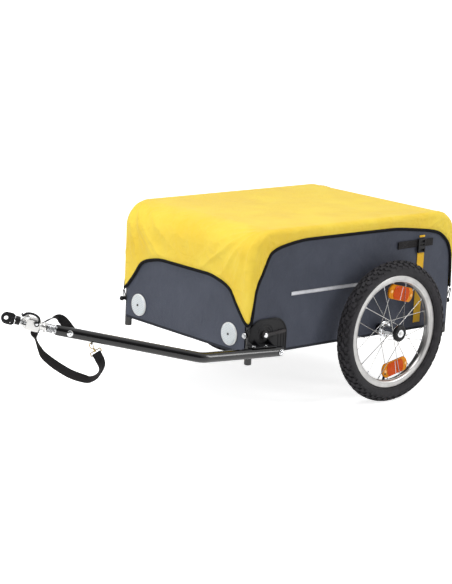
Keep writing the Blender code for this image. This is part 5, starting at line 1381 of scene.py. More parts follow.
def add_round_reflectors():
    """Round lenses with moulded prisms, low on each end panel, each held by one screw."""
    case = [
        (0, 0), (0.0305, 0), (0.031, 0.0006), (0.031, 0.0036), (0.0302, 0.0044), (0.0292, 0.0044),
        (0.0290, 0.0020), (0, 0.0020),
    ]
    lens = [
        (0.0036, 0.0022), (0.0288, 0.0022), (0.0288, 0.0048), (0.0272, 0.0060), (0.0180, 0.0066),
        (0.0060, 0.0068), (0.0036, 0.0062),
    ]
    screw = [(0, 0.0022), (0.0032, 0.0022), (0.0032, 0.0066), (0.0028, 0.0076), (0.0014, 0.0082), (0, 0.0082)]
    looks = {
        "front": ("pale_case_and_highlight", "clear_lens", "white_reflector"),
        "rear": ("red_lens", "red_lens", "red_reflector"),
    }
    for end, x, facing in ENDS:
        case_finish, lens_finish, slot = looks[end]
        for side, sign in SIDES:
            face = x + facing * (PANEL_OUT + FIT)
            place = on_end(face, sign * 0.196, 0.223, facing)
            shape = bmesh.new()
            shape.loops.layers.uv.new("flat")
            put(shape, flat_map(turned(case, 56, "Z"), 0, 1))
            put(shape, flat_map(turned(lens, 56, "Z", ring=True), 0, 1), None, 1)
            slots = [block((-a, -b, 0.0072), (a, b, 0.01)) for a, b in ((0.0005, 0.002), (0.002, 0.0005))]
            put(shape, flat_map(cut(turned(screw, 24, "Z"), *slots), 0, 1), None, 2)
            finishes = [case_finish, lens_finish, "dark_screw"]
            name, stands_for = f"{end}_lens_{side}", f"{end}_reflector_{side}"
            piece(name, placed(shape, place), finishes, "frame", slot, stands_for)


def add_buckles():
    """The webbing tail and its ladder buckle, above the band on each side."""
    x, z = -0.5310, 0.4265
    buckle_x, buckle_z = -0.5520, 0.4190
    out = (0, 1, 0)
    rails = [((a, a + 0.0045), (0.0036, 0.008), (-0.020, 0.020), 0.0012) for a in (-0.014, 0.0095)]
    heights = ((-0.020, -0.0155), (-0.0090, -0.0050), (0.0045, 0.0090), (0.0155, 0.020))
    bars = rails + [((-0.0115, 0.0115), (0.0036, 0.0074), rung, 0.0010) for rung in heights] + [
        ((-0.0120, 0.0120), (0.0004, 0.0038), (-0.0195, 0.0195), 0.0008),
        ((-0.0125, 0.0125), (0.0050, 0.0079), (-0.0080, 0.0010), 0.0013),
    ]
    for side, sign in SIDES:
        place = at(0, sign * (HALF_WIDTH + PANEL_OUT + FIT), 0) @ Matrix.Diagonal((1, sign, 1, 1))
        ends = (x - 0.069, 0.0019, z), (x + 0.062, 0.0019, z), (0, 0, 0.0105)
        tail = ribbon(ends, out, 0.0026, 0.3, 60)
        ends = (x + 0.060, 0.0024, z - 0.0006), (x + 0.069, 0.0024, z - 0.001), (0, 0, 0.0105)
        put(tail, ribbon(ends, out, 0.0034, 0.3, 8))
        piece(f"{side}_buckle_webbing", placed(tail, place), "webbing", "frame", "black_plastic")
        shape = bmesh.new()
        for (left, right), (near, far), (low, high), bevel in bars:
            corners = (buckle_x + left, near, buckle_z + low), (buckle_x + right, far, buckle_z + high)
            put(shape, block(*corners, bevel))
        shape = placed(shape, place)
        piece(f"{side}_ladder_buckle", shape, "nylon", "frame", "black_plastic", f"{side}_buckle")
        stitches = bmesh.new()
        for start, end, count in ((-1, -1, 8), (1, 1, 8), (-1, 1, 9), (1, -1, 9)):
            ends = (x + 0.030, 0.0033, z + start * 0.0075), (x + 0.056, 0.0033, z + end * 0.0075)
            put(stitches, stitch_row(*ends, out, count))
        piece(f"{side}_buckle_stitches", placed(stitches, place), "thread_grey", "frame", "black_plastic")


def spoke_ends():
    """(hub end, rim end, side) of each spoke: both flanges, crossed, seen in the wheel's own frame."""
    found = []
    pitch = 2 * math.pi / 10
    for side in (1, -1):
        for i in range(10):
            lean = -1 if i % 2 else 1
            hub_turn = pitch * (i + (0.5 if side < 0 else 0.0))
            rim_turn = hub_turn + lean * 2 * pitch
            y = side * 0.027 + lean * 0.0017
            found.append((
                Vector((0.0195 * math.cos(hub_turn), y, 0.0195 * math.sin(hub_turn))),
                Vector((0.1388 * math.cos(rim_turn), side * 0.002, 0.1388 * math.sin(rim_turn))), lean,
            ))
    return found


def tyre_shape():
    """A moulded tyre: the carcass with its sidewall rings, and seven rows of tread blocks."""
    outer = [(0.1503, 0.0098), (0.1589, 0.0098), (0.1596, 0.0112)]
    for degrees in range(-50, 91, 5):
        turn = math.radians(degrees)
        grow = 0.0006 if degrees in (-30, 15) else -0.0016 * smooth_step(15, 40, degrees)
        outer.append((0.1755 + (0.0208 + grow) * math.sin(turn), (0.0218 + grow) * math.cos(turn)))
    inner = [
        (0.1503, 0.0076), (0.1615, 0.0076), (0.1690, 0.0165), (0.1780, 0.0182), (0.1880, 0.0125),
        (0.1922, 0.0),
    ]
    ring = outer + [(r, -y) for r, y in reversed(outer[:-1])]
    ring += [(r, -y) for r, y in inner] + [(r, y) for r, y in reversed(inner[:-1])]
    tyre = turned(ring, 144, "Y", ring=True)
    rows = [
        (0, 0.0165, 0.0082, 0, 0.0), (24, 0.0150, 0.0078, 20, 0.5), (47, 0.0158, 0.0080, -12, 0.0),
        (69, 0.0120, 0.0084, 6, 0.5),
    ]
    for lean, long, wide, slant, phase in rows:
        for side in ((1,) if lean == 0 else (1, -1)):
            top = 0.0235 if lean < 60 else 0.0230
            lump = block((-long / 2, -wide / 2, 0.0170), (long / 2, wide / 2, top), 0.0008, 1)
            turn = about("X", -lean * side) @ about("Z", slant * side)
            bmesh.ops.transform(lump, matrix=at(0, 0, 0.1755) @ turn, verts=lump.verts)
            shift = phase * 2 * math.pi / 48 + (0.4 * math.pi / 48 if side < 0 else 0.0)
            put(tyre, repeated(lump, 48, (0, 1, 0)), Matrix.Rotation(shift, 4, "Y"))
    return tyre


def rim_shape():
    """A rolled channel with a rounded bed, a braking face and hooked edges."""
    half = [
        (0.1388, 0.0), (0.1388, 0.0042), (0.1394, 0.0045), (0.1394, 0.0053), (0.1390, 0.0056),
        (0.1397, 0.0080), (0.1414, 0.0104), (0.1440, 0.0118), (0.1452, 0.0120), (0.1456, 0.0113),
        (0.1463, 0.0113), (0.1467, 0.0120), (0.1570, 0.0120), (0.1580, 0.0117), (0.1585, 0.0110),
        (0.1583, 0.0103), (0.1572, 0.0102), (0.1490, 0.0102), (0.1472, 0.0088), (0.1468, 0.0040),
        (0.1468, 0.0),
    ]
    return turned(half + [(r, -y) for r, y in reversed(half[1:-1])], 144, "Y", ring=True)


def hub_shape():
    """A polished hub with flared flanges, its twenty spokes and the heads that hold them."""
    half = [
        (0.00665, 0.035), (0.0108, 0.035), (0.0115, 0.0343), (0.0115, 0.0295), (0.0212, 0.0292),
        (0.0226, 0.0286), (0.0230, 0.0272), (0.0226, 0.0256), (0.0206, 0.0250), (0.0160, 0.0246),
        (0.0138, 0.0225), (0.0126, 0.0185), (0.0120, 0.0110), (0.0118, 0.0),
    ]
    hub = turned(half + [(r, -y) for r, y in reversed(half[:-1])], 64, "Y", ring=True)
    for hub_end, rim_end, lean in spoke_ends():
        put(hub, rod(hub_end, rim_end, 0.001, 10), None, 1)
        out = Vector((0, lean, 0))
        put(hub, rod(hub_end - out * 0.0010, hub_end - out * 0.0062, 0.0010, 10), None, 1)
        put(hub, rod(hub_end - out * 0.0052, hub_end - out * 0.0064, 0.0019, 14, 0.0004), None, 1)
        reach = (rim_end - hub_end).normalized()
        put(hub, rod(rim_end - reach * 0.0100, rim_end + reach * 0.0004, 0.0017, 12, 0.0003), None, 2)
    return hub


def cap_shape():
    """The black cap outside the outer flange, ribbed round its edge for the fingers."""
    profile = [
        (0.0118, 0.0300), (0.0225, 0.0300), (0.0230, 0.0306), (0.0230, 0.0338), (0.0222, 0.0348),
        (0.0196, 0.0362), (0.0180, 0.0369), (0.0160, 0.0370), (0.0152, 0.0362), (0.0124, 0.0360),
        (0.0118, 0.0356),
    ]
    cap = turned(profile, 72, "Y", ring=True)
    rib = pin(0.0228, 0, 0.0301, 0.0344, 0.0011, 10, 0.0004)
    put(cap, repeated(rib, 30, (0, 1, 0)))
    return cap


def wheel_lens(angle):
    """A reflector across the spokes: an amber body, each face with an orange lens, a clip line whose pale
    colour is a painted highlight, and bosses.
    """
    end = 0.041 * 0.42
    half = 0.048 - end
    outline = arc((half, 0), end, -70, 70, 14) + arc((-half, 0), end, 110, 250, 14)
    outline = [(a, b * 0.0205 / end / math.sin(math.radians(70))) for a, b in outline]
    shape = bmesh.new()
    shape.loops.layers.uv.new("flat")
    put(shape, flat_map(plate(outline, "Y", -0.0036, 0.0036, 0.0012), 0, 2))
    for sign in (1, -1):
        corners = ((0.0310, 0.0095), (0.0250, 0.0192))
        quarters = ((1, 1, 1), (-1, 1, -1), (-1, -1, 1), (1, -1, -1))
        raised = [(a * x, b * y) for a, b, order in quarters for x, y in corners[::order]]
        low, high = sorted((sign * 0.0034, sign * 0.0050))
        put(shape, flat_map(plate(raised, "Y", low, high, 0.0008), 0, 2), None, 1)
        low, high = sorted((sign * 0.0048, sign * 0.0056))
        # The middle ridge takes the pale styrene finish as a painted highlight
        put(shape, flat_map(block((-0.0008, low, -0.0192), (0.0008, high, 0.0192), 0.0003), 0, 2), None, 3)
        for a in (-0.0395, 0.0395):
            clip = pin(a, 0, sign * 0.0034, sign * 0.0056, 0.0048, 20, 0.0008)
            put(shape, flat_map(clip, 0, 2), None, 2)
    turn = math.radians(angle)
    place = at(0.108 * math.cos(turn), 0, 0.108 * math.sin(turn))
    return placed(shape, place @ Matrix.Rotation(math.pi / 2 - turn, 4, "Y"))


def add_wheels():
    """Both wheels; the right one is the left one turned half a turn about Z."""
    # The fourth finish, pale styrene, is a painted highlight on the reflectors' middle ridge
    glass = ["amber_lens", "orange_lens", "amber_clip", "pale_case_and_highlight"]
    stem = [
        (0, 0.1392), (0.0042, 0.1392), (0.0036, 0.1340), (0.0034, 0.1240), (0.0042, 0.1236), (0.0042, 0.1172),
        (0.0034, 0.1160), (0, 0.1160),
    ]
    for side, sign in SIDES:
        place = at(AXLE_X, sign * WHEEL_Y, AXLE_Z) @ about("Z", 0 if sign > 0 else 180)
        wheel = f"{side}_wheel"
        for name, shape, look, slot, stands_for, sharp in (
            ("moulded_tyre", tyre_shape(), "rubber", "tyre", "tyre", 30),
            ("rolled_rim", rim_shape(), f"{side}_rim", "alloy", "rim", 25),
            ("laced_hub", hub_shape(), ["chrome", "stainless", "zinc"], "steel", "hub", 30),
            ("ribbed_cap", cap_shape(), "nylon", "black_plastic", "hub_cap", 30),
        ):
            piece(f"{side}_{name}", placed(shape, place), look, wheel, slot, f"{side}_{stands_for}", sharp)
        for spot, angle in (("upper", 104.0), ("lower", 259.0)):
            stands_for = f"{side}_spoke_reflector_{spot}"
            lens = placed(wheel_lens(angle), place)
            piece(f"{side}_wheel_lens_{spot}", lens, glass, wheel, "orange_reflector", stands_for, 30)
        valve = turned(stem, 20)
        put(valve, repeated(rod((0.1235, 0.0041, 0), (0.1172, 0.0041, 0), 0.0006, 8), 12, (1, 0, 0)))
        piece(f"{side}_valve", placed(valve, place @ about("Y", -278)), "nylon", wheel, "black_plastic")

        head, inner = 0.0353, 0.202 - WHEEL_Y
        tip = head + 0.0025
        shaft = [
            (0, inner), (0.0050, inner), (0.00635, inner + 0.0014), (0.00635, head), (0.0104, head),
            (0.011, head + 0.0006), (0.011, tip - 0.0007), (0.0104, tip), (0.0066, tip),
            (0.0058, tip - 0.0006), (0.0048, tip - 0.0008), (0.0048, tip - 0.014), (0, tip - 0.014),
        ]
        shaft = turned(shaft, 48, "Y")
        for a in (0, 90, 180, 270):
            ball = bmesh.new()
            bmesh.ops.create_uvsphere(ball, u_segments=12, v_segments=8, radius=0.0016)
            bmesh.ops.translate(ball, verts=ball.verts, vec=(0.0056, inner + 0.008, 0))
            put(shaft, ball, about("Y", a))
        shaft = placed(shaft, place)
        piece(f"{side}_axle_pin", shaft, "chrome", f"{side}_axle", "steel", f"{side}_stub_axle", 30)
        foot = tip - 0.014 + 0.003 + 2 * FIT
        button = [
            (0, foot), (0.0045, foot), (0.0045, tip + 0.0026), (0.0041, tip + 0.0034), (0.0030, tip + 0.0040),
            (0.0012, tip + 0.0037), (0, tip + 0.0036),
        ]
        button = placed(turned(button, 40, "Y"), place)
        body, stands_for = f"{side}_button", f"{side}_axle_button"
        piece(f"{side}_push_button", button, "button", body, "white_plastic", stands_for, 30)


def drawbar_line():
    """The drawbar's centre line, its bend rounded in twenty steps."""
    rear = (DRAWBAR_BEND - PIVOT).normalized()
    front = (DRAWBAR_END - DRAWBAR_BEND).normalized()
    turn = rear.angle(front)
    back = DRAWBAR_BEND_R * math.tan(turn / 2)
    side = (front - rear * front.dot(rear)).normalized()
    centre = DRAWBAR_BEND - rear * back + side * DRAWBAR_BEND_R
    bend = []
    for i in range(21):
        swing = side * DRAWBAR_BEND_R * math.cos(turn * i / 20)
        bend.append(centre - swing + rear * DRAWBAR_BEND_R * math.sin(turn * i / 20))
    return [PIVOT - rear * DRAWBAR_TAIL] + bend + [DRAWBAR_END]


def add_drawbar():
    """The bent drawbar with its wire eye, the bolt that holds the strap, and its pivot."""
    tube = bar(drawbar_line(), DRAWBAR_R, 44)
    x = -0.0971
    loop = arc((0, -DRAWBAR_R * 0.93), 0.0075, 180, 360, 18)
    ends = [(-0.0075, -DRAWBAR_R * 0.55)] + loop + [(0.0075, -DRAWBAR_R * 0.55)]
    put(tube, bar([(x, a, b) for a, b in ends], 0.0012, 12), DRAWBAR_FRAME)
    rear = (DRAWBAR_BEND - PIVOT).normalized()
    tail = PIVOT - rear * DRAWBAR_TAIL
    plug = [(0, -0.0012), (0.0105, -0.0012), (0.0118, -0.0006), (0.0122, 0.0004), (0, 0.0004)]
    put(tube, turned(plug, 36), axis_frame(tail, tail + rear), 1)
    piece("bent_drawbar", tube, ["powder_coat", "nylon"], "drawbar", "frame_black", "drawbar_tube")

    near = DRAWBAR_R + FIT
    out = 0.0153 + STRAP_T / 2 + FIT
    bolt = pin(STRAP_BOLT_X, 0, -out - 0.001, near + 0.001, 0.003, 24)
    dome = [
        (0, 0), (0.0082, 0), (0.0082, 0.0008), (0.0076, 0.0022), (0.0058, 0.0034), (0.0040, 0.0039),
        (0, 0.0040),
    ]
    dome = cut(turned(dome, 40, "Z"), rod((0, 0, 0.0018), (0, 0, 0.008), 0.0026, 6))
    put(bolt, dome, at(STRAP_BOLT_X, near, 0) @ about("X", -90))
    washer = [(0.003, 0), (0.0082, 0), (0.0085, 0.0003), (0.0085, 0.0009), (0.0082, 0.0012), (0.003, 0.0012)]
    put(bolt, turned(washer, 36, "Y", ring=True), at(STRAP_BOLT_X, -out - 0.0012, 0))
    put(bolt, pin(STRAP_BOLT_X, 0, -out - 0.0025, -out - 0.0012, 0.0056, 6, 0.0003))
    piece("strap_screw", placed(bolt, DRAWBAR_FRAME), "chrome", "drawbar", "steel", "strap_bolt", 30)


def add_mount():
    """The moulded plate on the tub's side, with its stop over the drawbar, the pivot bolt and the lever."""
    inner, outer = HALF_WIDTH + 0.0126, HALF_WIDTH + 0.0166
    lever_x, lever_z = LEVER_SPOT
    low_x, high_x, low_z, high_z, corner = -0.055, 0.080, 0.180, 0.273, 0.046
    outline = arc((low_x + 0.004, low_z + 0.004), 0.004, 180, 270, 4)
    outline += arc((high_x - 0.004, low_z + 0.004), 0.004, 270, 360, 4)
    outline += arc((high_x - corner, high_z - corner), corner, 0, 90, 18)
    outline += arc((low_x + corner, high_z - corner), corner, 90, 180, 18)
    shape = plate(outline, "Y", inner, outer, 0.0009)
    edge = [((a - 0.0125) * 0.955 + 0.0125, (b - 0.2265) * 0.945 + 0.2265) for a, b in outline]
    put(shape, bar([(a, outer, b) for a, b in edge], 0.0011, 8, closed=True))
    for radius, start, end in ((0.0165, 0, 360), (0.0235, 20, 250), (0.0305, 35, 200)):
        ring = [(lever_x + a, outer, lever_z + b) for a, b in arc((0, 0), radius, start, end, 48)]
        whole = end - start == 360
        put(shape, bar(ring[:-1] if whole else ring, 0.0009, 8, closed=whole))
    for a in (-0.044, -0.034, -0.024):
        put(shape, bar([(a, outer, 0.189), (a, outer, 0.242)], 0.0008, 8))
    spacer_end = PIVOT.y - DRAWBAR_R - FIT
    put(shape, pin(PIVOT.x, PIVOT.z, outer - 0.001, spacer_end, 0.012, 36, 0.0006))
    along = (DRAWBAR_BEND - PIVOT).normalized()
    seat = at(PIVOT.x, 0, PIVOT.z) @ Matrix.Rotation(-math.atan2(along.z, along.x), 4, "Y")
    above = DRAWBAR_R + 2 * FIT
    flange_end = PIVOT.y + 0.0085
    put(shape, block((0.013, outer - 0.001, above), (0.095, flange_end, above + 0.0035), 0.0010), seat)
    gusset = [
        (outer - 0.0005, above + 0.003), (flange_end - 0.004, above + 0.003), (outer - 0.0005, above + 0.016),
    ]
    for run in (0.020, 0.0665, 0.0895):
        put(shape, plate(gusset, "X", run - 0.0012, run + 0.0012), seat)
    for run in (0.046, 0.088):
        foot = above + 0.0035
        put(shape, rod((run, PIVOT.y, foot), (run, PIVOT.y, foot + 0.0008), 0.0052, 24, 0.0002), seat, 1)
        put(shape, rod((run, PIVOT.y, foot), (run, PIVOT.y, foot + 0.0030), 0.0040, 6, 0.0004), seat, 1)
    lever_out = outer + FIT + 0.0065 + FIT
    put(shape, pin(lever_x, lever_z, outer - 0.001, lever_out + 0.001, 0.004, 24), None, 1)
    head = [(0, 0), (0.0068, 0), (0.0068, 0.0007), (0.0060, 0.0013), (0.0040, 0.0016), (0, 0.0016)]
    put(shape, turned(head, 32, "Y"), at(lever_x, lever_out, lever_z), 1)
    looks = ["nylon", "chrome"]
    piece("moulded_drawbar_mount", shape, looks, "frame", "black_plastic", "drawbar_mount_plate", 30)

    head_y = PIVOT.y + DRAWBAR_R + FIT
    bolt = pin(PIVOT.x, PIVOT.z, inner, head_y + 0.001, 0.004, 24)
    put(bolt, pin(PIVOT.x, PIVOT.z, head_y, head_y + 0.0008, 0.0085, 36, 0.0002))
    put(bolt, pin(PIVOT.x, PIVOT.z, head_y + 0.0008, head_y + 0.0044, 0.0075, 6, 0.0005))
    turns = [math.radians(a) for a in range(15, 91, 15)]
    dome = [(0.0056 * math.sin(a), 0.0042 + 0.0030 * math.cos(a)) for a in turns]
    put(bolt, turned([(0, 0.0072)] + dome + [(0, 0.0042)], 32, "Y"), at(PIVOT.x, head_y, PIVOT.z))
    piece("pivot_nut_and_bolt", bolt, "chrome", "frame", "steel", "pivot_bolt", 30)

    low = outer + FIT
    lever = [
        (0.0043, low), (0.0102, low), (0.011, low + 0.0008), (0.011, low + 0.0052), (0.0100, low + 0.0065),
        (0.0043, low + 0.0065),
    ]
    lever = turned(lever, 48, "Y", ring=True)
    sides = [(0.0, 0.0050), (-0.030, 0.0041), (-0.060, 0.0045), (-0.069, 0.0042), (-0.072, 0.0024)]
    outline = sides + [(a, -b) for a, b in reversed(sides)]
    bore = pin(0, 0, low - 0.01, low + 0.02, 0.0070, 32)
    arm = cut(plate(outline, "Y", low, low + 0.0064, 0.0013, 3), bore)
    put(arm, block((-0.066, low + 0.0058, -0.0008), (-0.016, low + 0.0070, 0.0008), 0.0003))
    put(lever, arm, about("Y", 4))
    lever = placed(lever, at(lever_x, 0, lever_z))
    piece("clamp_lever", lever, "nylon_grey", "lever", "dark_grey", "lock_lever", 30)


def ball_line(radius, degrees):
    """The outline of a sphere round the ball's centre, as (radius, height) for turned."""
    turns = [math.radians(a) for a in degrees]
    return [(radius * math.sin(a), BALL_X - radius * math.cos(a)) for a in turns]


def add_coupling():
    """The sprung coupling: plug, spring, cast body, bail, ball and boot, and the eye plate."""
    plug = turned([
        (0, -0.014), (0.0104, -0.014), (0.0108, -0.0136), (0.0108, 0.0012), (0.0121, 0.0012),
        (0.0125, 0.0016), (0.0125, 0.0028), (0.0121, 0.0032), (0, 0.0032),
    ], 48)
    core = [(0, 0.0030), (0.0060, 0.0030), (0.0060, 0.0105), (0.0050, 0.0130), (0.0028, 0.0142), (0, 0.0144)]
    put(plug, turned(core, 32), None, 1)
    piece("tube_plug", placed(plug, HITCH_FRAME), ["zinc", "boot"], "drawbar", "steel", "spring_plug", 30)
    wire, radius, turns = 0.0012, 0.0103, 5.5
    start, end = 0.0035 + 2 * wire, 0.0265 - 2 * wire
    coil = []
    for i in range(155):
        turn = 2 * math.pi * turns * i / 154
        run = start + (end - start) * i / 154
        coil.append(Vector((run, radius * math.cos(turn), radius * math.sin(turn))))
    coil = [coil[0] - Vector((2 * wire, 0, 0))] + coil + [coil[-1] + Vector((2 * wire, 0, 0))]
    spring = placed(bar(coil, wire, 10), HITCH_FRAME)
    spring = piece("wound_spring", spring, "zinc", None, "steel", "coupling_spring", 40)
    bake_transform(spring)

    neck = turned([
        (0, 0.0268), (0.0121, 0.0268), (0.0125, 0.0272), (0.0125, 0.0294), (0.0120, 0.0299),
        (0.0104, 0.0308), (0.0096, 0.0322), (0.0094, 0.0370), (0.0099, 0.0410), (0.0112, 0.0440),
        (0.0112, 0.0480), (0, 0.0480),
    ], 48)
    shell = turned(ball_line(0.014, range(0, 181, 6)), 48)
    bosses = [
        pin(x, z, -y, y, r, 40, 0.0008)
        for x, z, r, y in ((0.0798, 0.0168, 0.006, 0.017), (0.0536, 0.0057, 0.007, 0.0147))
    ]
    lower = rod((0.068, -0.0155, -0.010), (0.088, -0.0155, -0.010), 0.0045, 32, 0.0008)
    pad = block((0.0455, -0.0062, 0.0150), (0.0700, 0.0062, 0.0172), 0.0010)
    socket = turned(ball_line(0.0094, range(0, 181, 10)), 32)
    slot = block((BALL_X, -0.028, -0.0052), (0.1065, 0.028, 0.0052))
    middle = block((0.043, -0.014, -0.016), (0.082, 0.014, 0.016), 0.0042, 5)
    body = cut(fused(middle, neck, shell, lower, pad, *bosses), socket, slot)
    core = [(0, 0.0270), (0.0060, 0.0270), (0.0060, 0.0195), (0.0050, 0.0170), (0.0028, 0.0158), (0, 0.0156)]
    put(body, turned(core, 32), None, 2)
    for sign in (1, -1):
        put(body, pin(0.0536, 0.0057, sign * 0.0140, sign * 0.0206, 0.0038, 28, 0.0005), None, 1)
        put(body, pin(0.0798, 0.0168, sign * 0.0168, sign * 0.0178, 0.0032, 28, 0.0003), None, 1)
    put(body, rod((0.0875, -0.0155, -0.010), (0.0888, -0.0155, -0.010), 0.0030, 6, 0.0003), None, 1)
    body, looks = placed(body, HITCH_FRAME), ["cast", "chrome", "boot"]
    piece("cast_coupling", body, looks, "coupling", "alloy", "coupling_body", 32)

    pivot = (0.0536, 0.0057)
    arm = [
        pivot, (0.0490, 0.0125), (0.0520, 0.0215), (0.0610, 0.0270), (0.0720, 0.0287), (0.0836, 0.0267),
        (0.0915, 0.0190),
    ]
    line = smooth_path([Vector((a, 0.0178, b)) for a, b in arm], 6)
    start = next(i for i, p in enumerate(line) if (p - line[0]).length > 0.0040)
    tip = [Vector((0.0922, y, 0.0182)) for y in (0.0160, 0.0130, 0.0060, 0.0)]
    bail = bar(smooth_path(line[start:] + tip, 2), 0.0031, 20)
    eye = [
        (0.0041, 0.0150), (0.0060, 0.0150), (0.0065, 0.0155), (0.0065, 0.0202), (0.0060, 0.0207),
        (0.0041, 0.0207),
    ]
    put(bail, turned(eye, 36, "Y", ring=True), at(pivot[0], 0, pivot[1]))
    piece("latch_bail_rod", placed(bail, HITCH_FRAME), "nylon", "bail", "black_plastic", "latch_bail", 40)

    stem = turned(ball_line(0.009, range(0, 151, 8)) + [(0.0045, 0.0863), (0.0045, 0.0945), (0, 0.0945)], 36)
    shank = [(0, 0.104), (0.0036, 0.104), (0.004, 0.1045), (0.004, 0.1158), (0.0036, 0.1164), (0, 0.1164)]
    put(stem, turned(shank, 28))
    ribs = [(0.0045, 0.0938), (0.0092, 0.0938)]
    for i in range(4):
        low = 0.0940 + i * 0.0031
        ribs += [
            (0.0096, low), (0.0113, low + 0.0006), (0.0115, low + 0.0013), (0.0113, low + 0.0020),
            (0.0096, low + 0.0026),
        ]
    put(stem, turned(ribs + [(0.0096, 0.1064), (0.0045, 0.1064)], 48, ring=True), None, 1)
    stem, looks = placed(stem, HITCH_FRAME), ["zinc", "boot"]
    piece("ball_stem_and_boot", stem, looks, "stem", "black_plastic", "hitch_stem", 40)

    start = 0.1067
    lower = [(0.1082, -0.0105), (0.1105, -0.0140), (0.1150, -0.0156)]
    outline = lower + arc((0.1262, 0), 0.0158, -72, 72, 28) + [(a, -b) for a, b in reversed(lower)]
    hole = pin(HITCH_LENGTH, 0, -0.01, 0.01, 0.0055, 40)
    small = pin(0.1168, -0.0098, -0.01, 0.01, 0.0014, 20)
    shape = cut(plate(outline, "Y", -0.003, 0.003, 0.0009, 3), hole, small)
    ring = [
        (0.0043, start), (0.0122, start), (0.0125, start + 0.0003), (0.0125, start + 0.0017),
        (0.0122, start + 0.002), (0.0043, start + 0.002),
    ]
    put(shape, turned(ring, 48, ring=True), None, 1)
    boss = [
        (0.0043, start + 0.0018), (0.0075, start + 0.0018), (0.0075, start + 0.0104), (0.0069, start + 0.011),
        (0.0043, start + 0.011),
    ]
    put(shape, turned(boss, 40, ring=True))
    lip = [(0.0055, -0.0031), (0.0074, -0.0031), (0.0078, -0.0027)]
    lip += [(r, -y) for r, y in reversed(lip)]
    put(shape, turned(lip, 40, "Y", ring=True), at(HITCH_LENGTH, 0, 0))
    shape, looks = placed(shape, HITCH_FRAME), ["nylon", "chrome"]
    piece("axle_eye_plate", shape, looks, "eye", "black_plastic", "hitch_eye", 30)


def add_snap_hook():
    """The wire ring, the snap hook and its sprung gate, at the strap's far end."""
    frame, length = hook_frame()
    base = DRAWBAR_FRAME @ frame
    half, depth, corner = 0.0148, RING_DEPTH, 0.0022
    line = []
    for a, b, start in ((depth, -half, -90), (-depth, -half, 180), (-depth, half, 90), (depth, half, 0)):
        centre = (a - math.copysign(corner, a), b - math.copysign(corner, b))
        line += reversed(arc(centre, corner, start, start + 90, 6))
    ring = bar([(a, 0, b) for a, b in line], RING_WIRE_R, 14, closed=True)
    piece("strap_wire_ring", placed(ring, base), "brass", "drawbar", "steel", "strap_ring", 40)

    loop_start, rise, wire = length - 0.0165, 0.0052, 0.0014
    top = length - rise
    spine = [Vector((loop_start, 0, 0)), Vector((loop_start + 0.003, 0, -rise)), Vector((top, 0, -rise))]
    turns = [math.radians(a) for a in range(-75, 76, 15)]
    spine += [Vector((top + rise * math.cos(a), 0, rise * math.sin(a))) for a in turns]
    hook = bar(smooth_path(spine, 4), wire, 16)
    collar = [
        (0, depth + 0.0014), (0.0024, depth + 0.0014), (0.0030, depth + 0.0020), (0.0030, depth + 0.0032),
        (0.0022, depth + 0.0040), (0.0022, loop_start - 0.0014), (0.0028, loop_start - 0.0008),
        (0.0024, loop_start + 0.001), (0, loop_start + 0.0012),
    ]
    put(hook, turned(collar, 28))
    barrel = [(0.0017, -0.0025), (0.0030, -0.0025), (0.0034, -0.0020)]
    barrel += [(r, -h) for r, h in reversed(barrel)]
    put(hook, turned(barrel, 28, "Z", ring=True), at(depth, 0, 0))
    piece("swivel_snap_hook", placed(hook, base), "brass", "drawbar", "steel", "snap_hook", 40)

    nose = spine[-1]
    hinge = Vector((loop_start + 0.0018, 0, rise * 0.35))
    gate_end = Vector((nose.x - wire * 1.3, 0, nose.z - wire * 0.4))
    gate = rod(hinge, gate_end, 0.0010, 16, 0.0003)
    pin = Vector((0, 0.0014, 0))
    put(gate, rod(hinge - pin, hinge + pin, 0.0013, 16, 0.0003))
    piece("sprung_gate", placed(gate, base), "brass", "gate", "steel", "hook_gate", 40)


def set_camera():
    """The photograph's own camera, from where the tyre, the hoops and the drawbar lie in it."""
    level = math.cos(CAMERA_PITCH)
    ahead = Vector((level * math.cos(CAMERA_YAW), level * math.sin(CAMERA_YAW), -math.sin(CAMERA_PITCH)))
    flat_right = Vector((math.sin(CAMERA_YAW), -math.cos(CAMERA_YAW), 0))
    flat_down = ahead.cross(flat_right)
    right = math.cos(CAMERA_ROLL) * flat_right + math.sin(CAMERA_ROLL) * flat_down
    down = -math.sin(CAMERA_ROLL) * flat_right + math.cos(CAMERA_ROLL) * flat_down
    data = bpy.data.cameras.new("photo_camera")
    data.sensor_width = SENSOR_MM
    data.lens = FOCAL_PIXELS / PHOTO_HEIGHT * SENSOR_MM
    data.clip_start, data.clip_end = 0.05, 60
    camera = linked("photo_camera", data)
    turn = Matrix((right, -down, -ahead)).transposed().to_4x4()
    camera.matrix_world = Matrix.Translation(CAMERA_SPOT) @ turn
    bpy.context.scene.camera = camera


def soft_box(name, spot, aim, size, watts):
    """A large rectangular lamp at spot that faces aim. It lights, but no camera sees the lamp itself."""
    data = bpy.data.lights.new(name, "AREA")
    data.shape = "RECTANGLE"
    data.size, data.size_y = size
    data.energy = watts
    lamp = linked(name, data)
    spot, aim = Vector(spot), Vector(aim)
    lamp.matrix_world = Matrix.Translation(spot) @ (aim - spot).to_track_quat("-Z", "Y").to_matrix().to_4x4()
    lamp.visible_camera = False


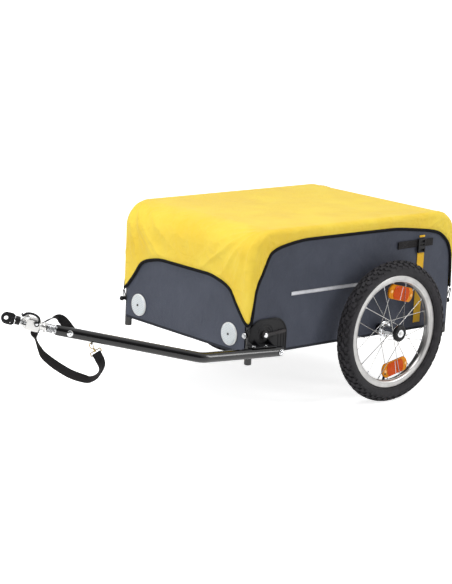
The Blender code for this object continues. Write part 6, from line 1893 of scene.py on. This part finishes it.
def make_room(scene):
    """A white room that lights evenly. What is seen of it is white too, but for the unlit side behind the
    camera, which polished metal and gloss paint show as their dark parts."""
    scene.world = bpy.data.worlds.new("white_room")
    tree = empty_tree(scene.world)
    rays = node(tree, "LightPath").outputs
    seen = math_node(tree, "MAXIMUM", rays["Is Camera Ray"], rays["Is Glossy Ray"])
    seen = math_node(tree, "MAXIMUM", seen, rays["Is Transmission Ray"])
    light = node(tree, "Background", {"Color": linear("#FFFFFF"), "Strength": 0.46})
    heading = node(tree, "NewGeometry").outputs["Incoming"]
    facing = node(tree, "VectorMath", {0: heading, 1: (-0.62, -0.74, -0.26)}, operation="DOT_PRODUCT")
    fade = {"Value": facing.outputs["Value"], 1: 0.35, 2: 0.80, 3: 1.0, 4: 0.12}
    dim = node(tree, "MapRange", fade, interpolation_type="SMOOTHSTEP").outputs[0]
    dim = math_node(tree, "MAXIMUM", dim, rays["Is Camera Ray"])
    shown = node(tree, "Background", {"Color": linear("#FFFFFF"), "Strength": dim})
    mixed = node(tree, "MixShader", {0: seen, 1: light.outputs[0], 2: shown.outputs[0]})
    node(tree, "OutputWorld", {"Surface": mixed.outputs[0]})


def white_paper():
    """Matt paper that keeps the shadow. The camera sees it white, and in a shiny surface it is only pale."""
    made = bpy.data.materials.new("white_paper_floor")
    tree = empty_tree(made)
    rays = node(tree, "LightPath").outputs
    paper = node(tree, "BsdfDiffuse", {"Color": linear("#F4F4F4")})
    pale = math_node(tree, "MULTIPLY", rays["Is Glossy Ray"], 0.36)
    white = math_node(tree, "MULTIPLY", rays["Is Camera Ray"], 0.75)
    strength = math_node(tree, "MAXIMUM", pale, white)
    lift = node(tree, "Emission", {"Color": linear("#FFFFFF"), "Strength": strength})
    both = node(tree, "AddShader", {0: paper.outputs[0], 1: lift.outputs[0]})
    seen = math_node(tree, "MAXIMUM", rays["Is Camera Ray"], rays["Is Glossy Ray"])
    mixed = node(tree, "MixShader", {0: seen, 1: paper.outputs[0], 2: both.outputs[0]})
    node(tree, "OutputMaterial", {"Surface": mixed.outputs[0]})
    return made


def set_studio():
    """The room, three soft boxes, and a wide floor under the tyres."""
    scene = bpy.context.scene
    scene.view_settings.view_transform = "Standard"
    make_room(scene)
    soft_box("key_box", (1.1, 0.5, 4.2), (-0.1, 0, 0.25), (1.6, 1.6), 110)
    soft_box("side_box", (-2.2, 2.8, 1.7), (-0.3, 0.1, 0.25), (0.7, 2.2), 34)
    soft_box("front_box", (3.4, -0.6, 1.4), (0, 0, 0.3), (0.7, 2.0), 36)

    floor = bmesh.new()
    bmesh.ops.create_grid(floor, x_segments=1, y_segments=1, size=15)
    floor = linked("floor", held(floor, "floor"))
    floor.data.materials.append(white_paper())


def main():
    """Builds every piece on the loaded CAD frame, with the camera and the studio."""
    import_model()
    set_camera()
    add_strap()
    add_snap_hook()
    add_cover()
    add_tub()
    add_frame_tubes()
    add_fasteners()
    add_round_reflectors()
    add_buckles()
    add_wheels()
    add_drawbar()
    add_mount()
    add_coupling()
    set_studio()


FINISHES = make_finishes()
main()
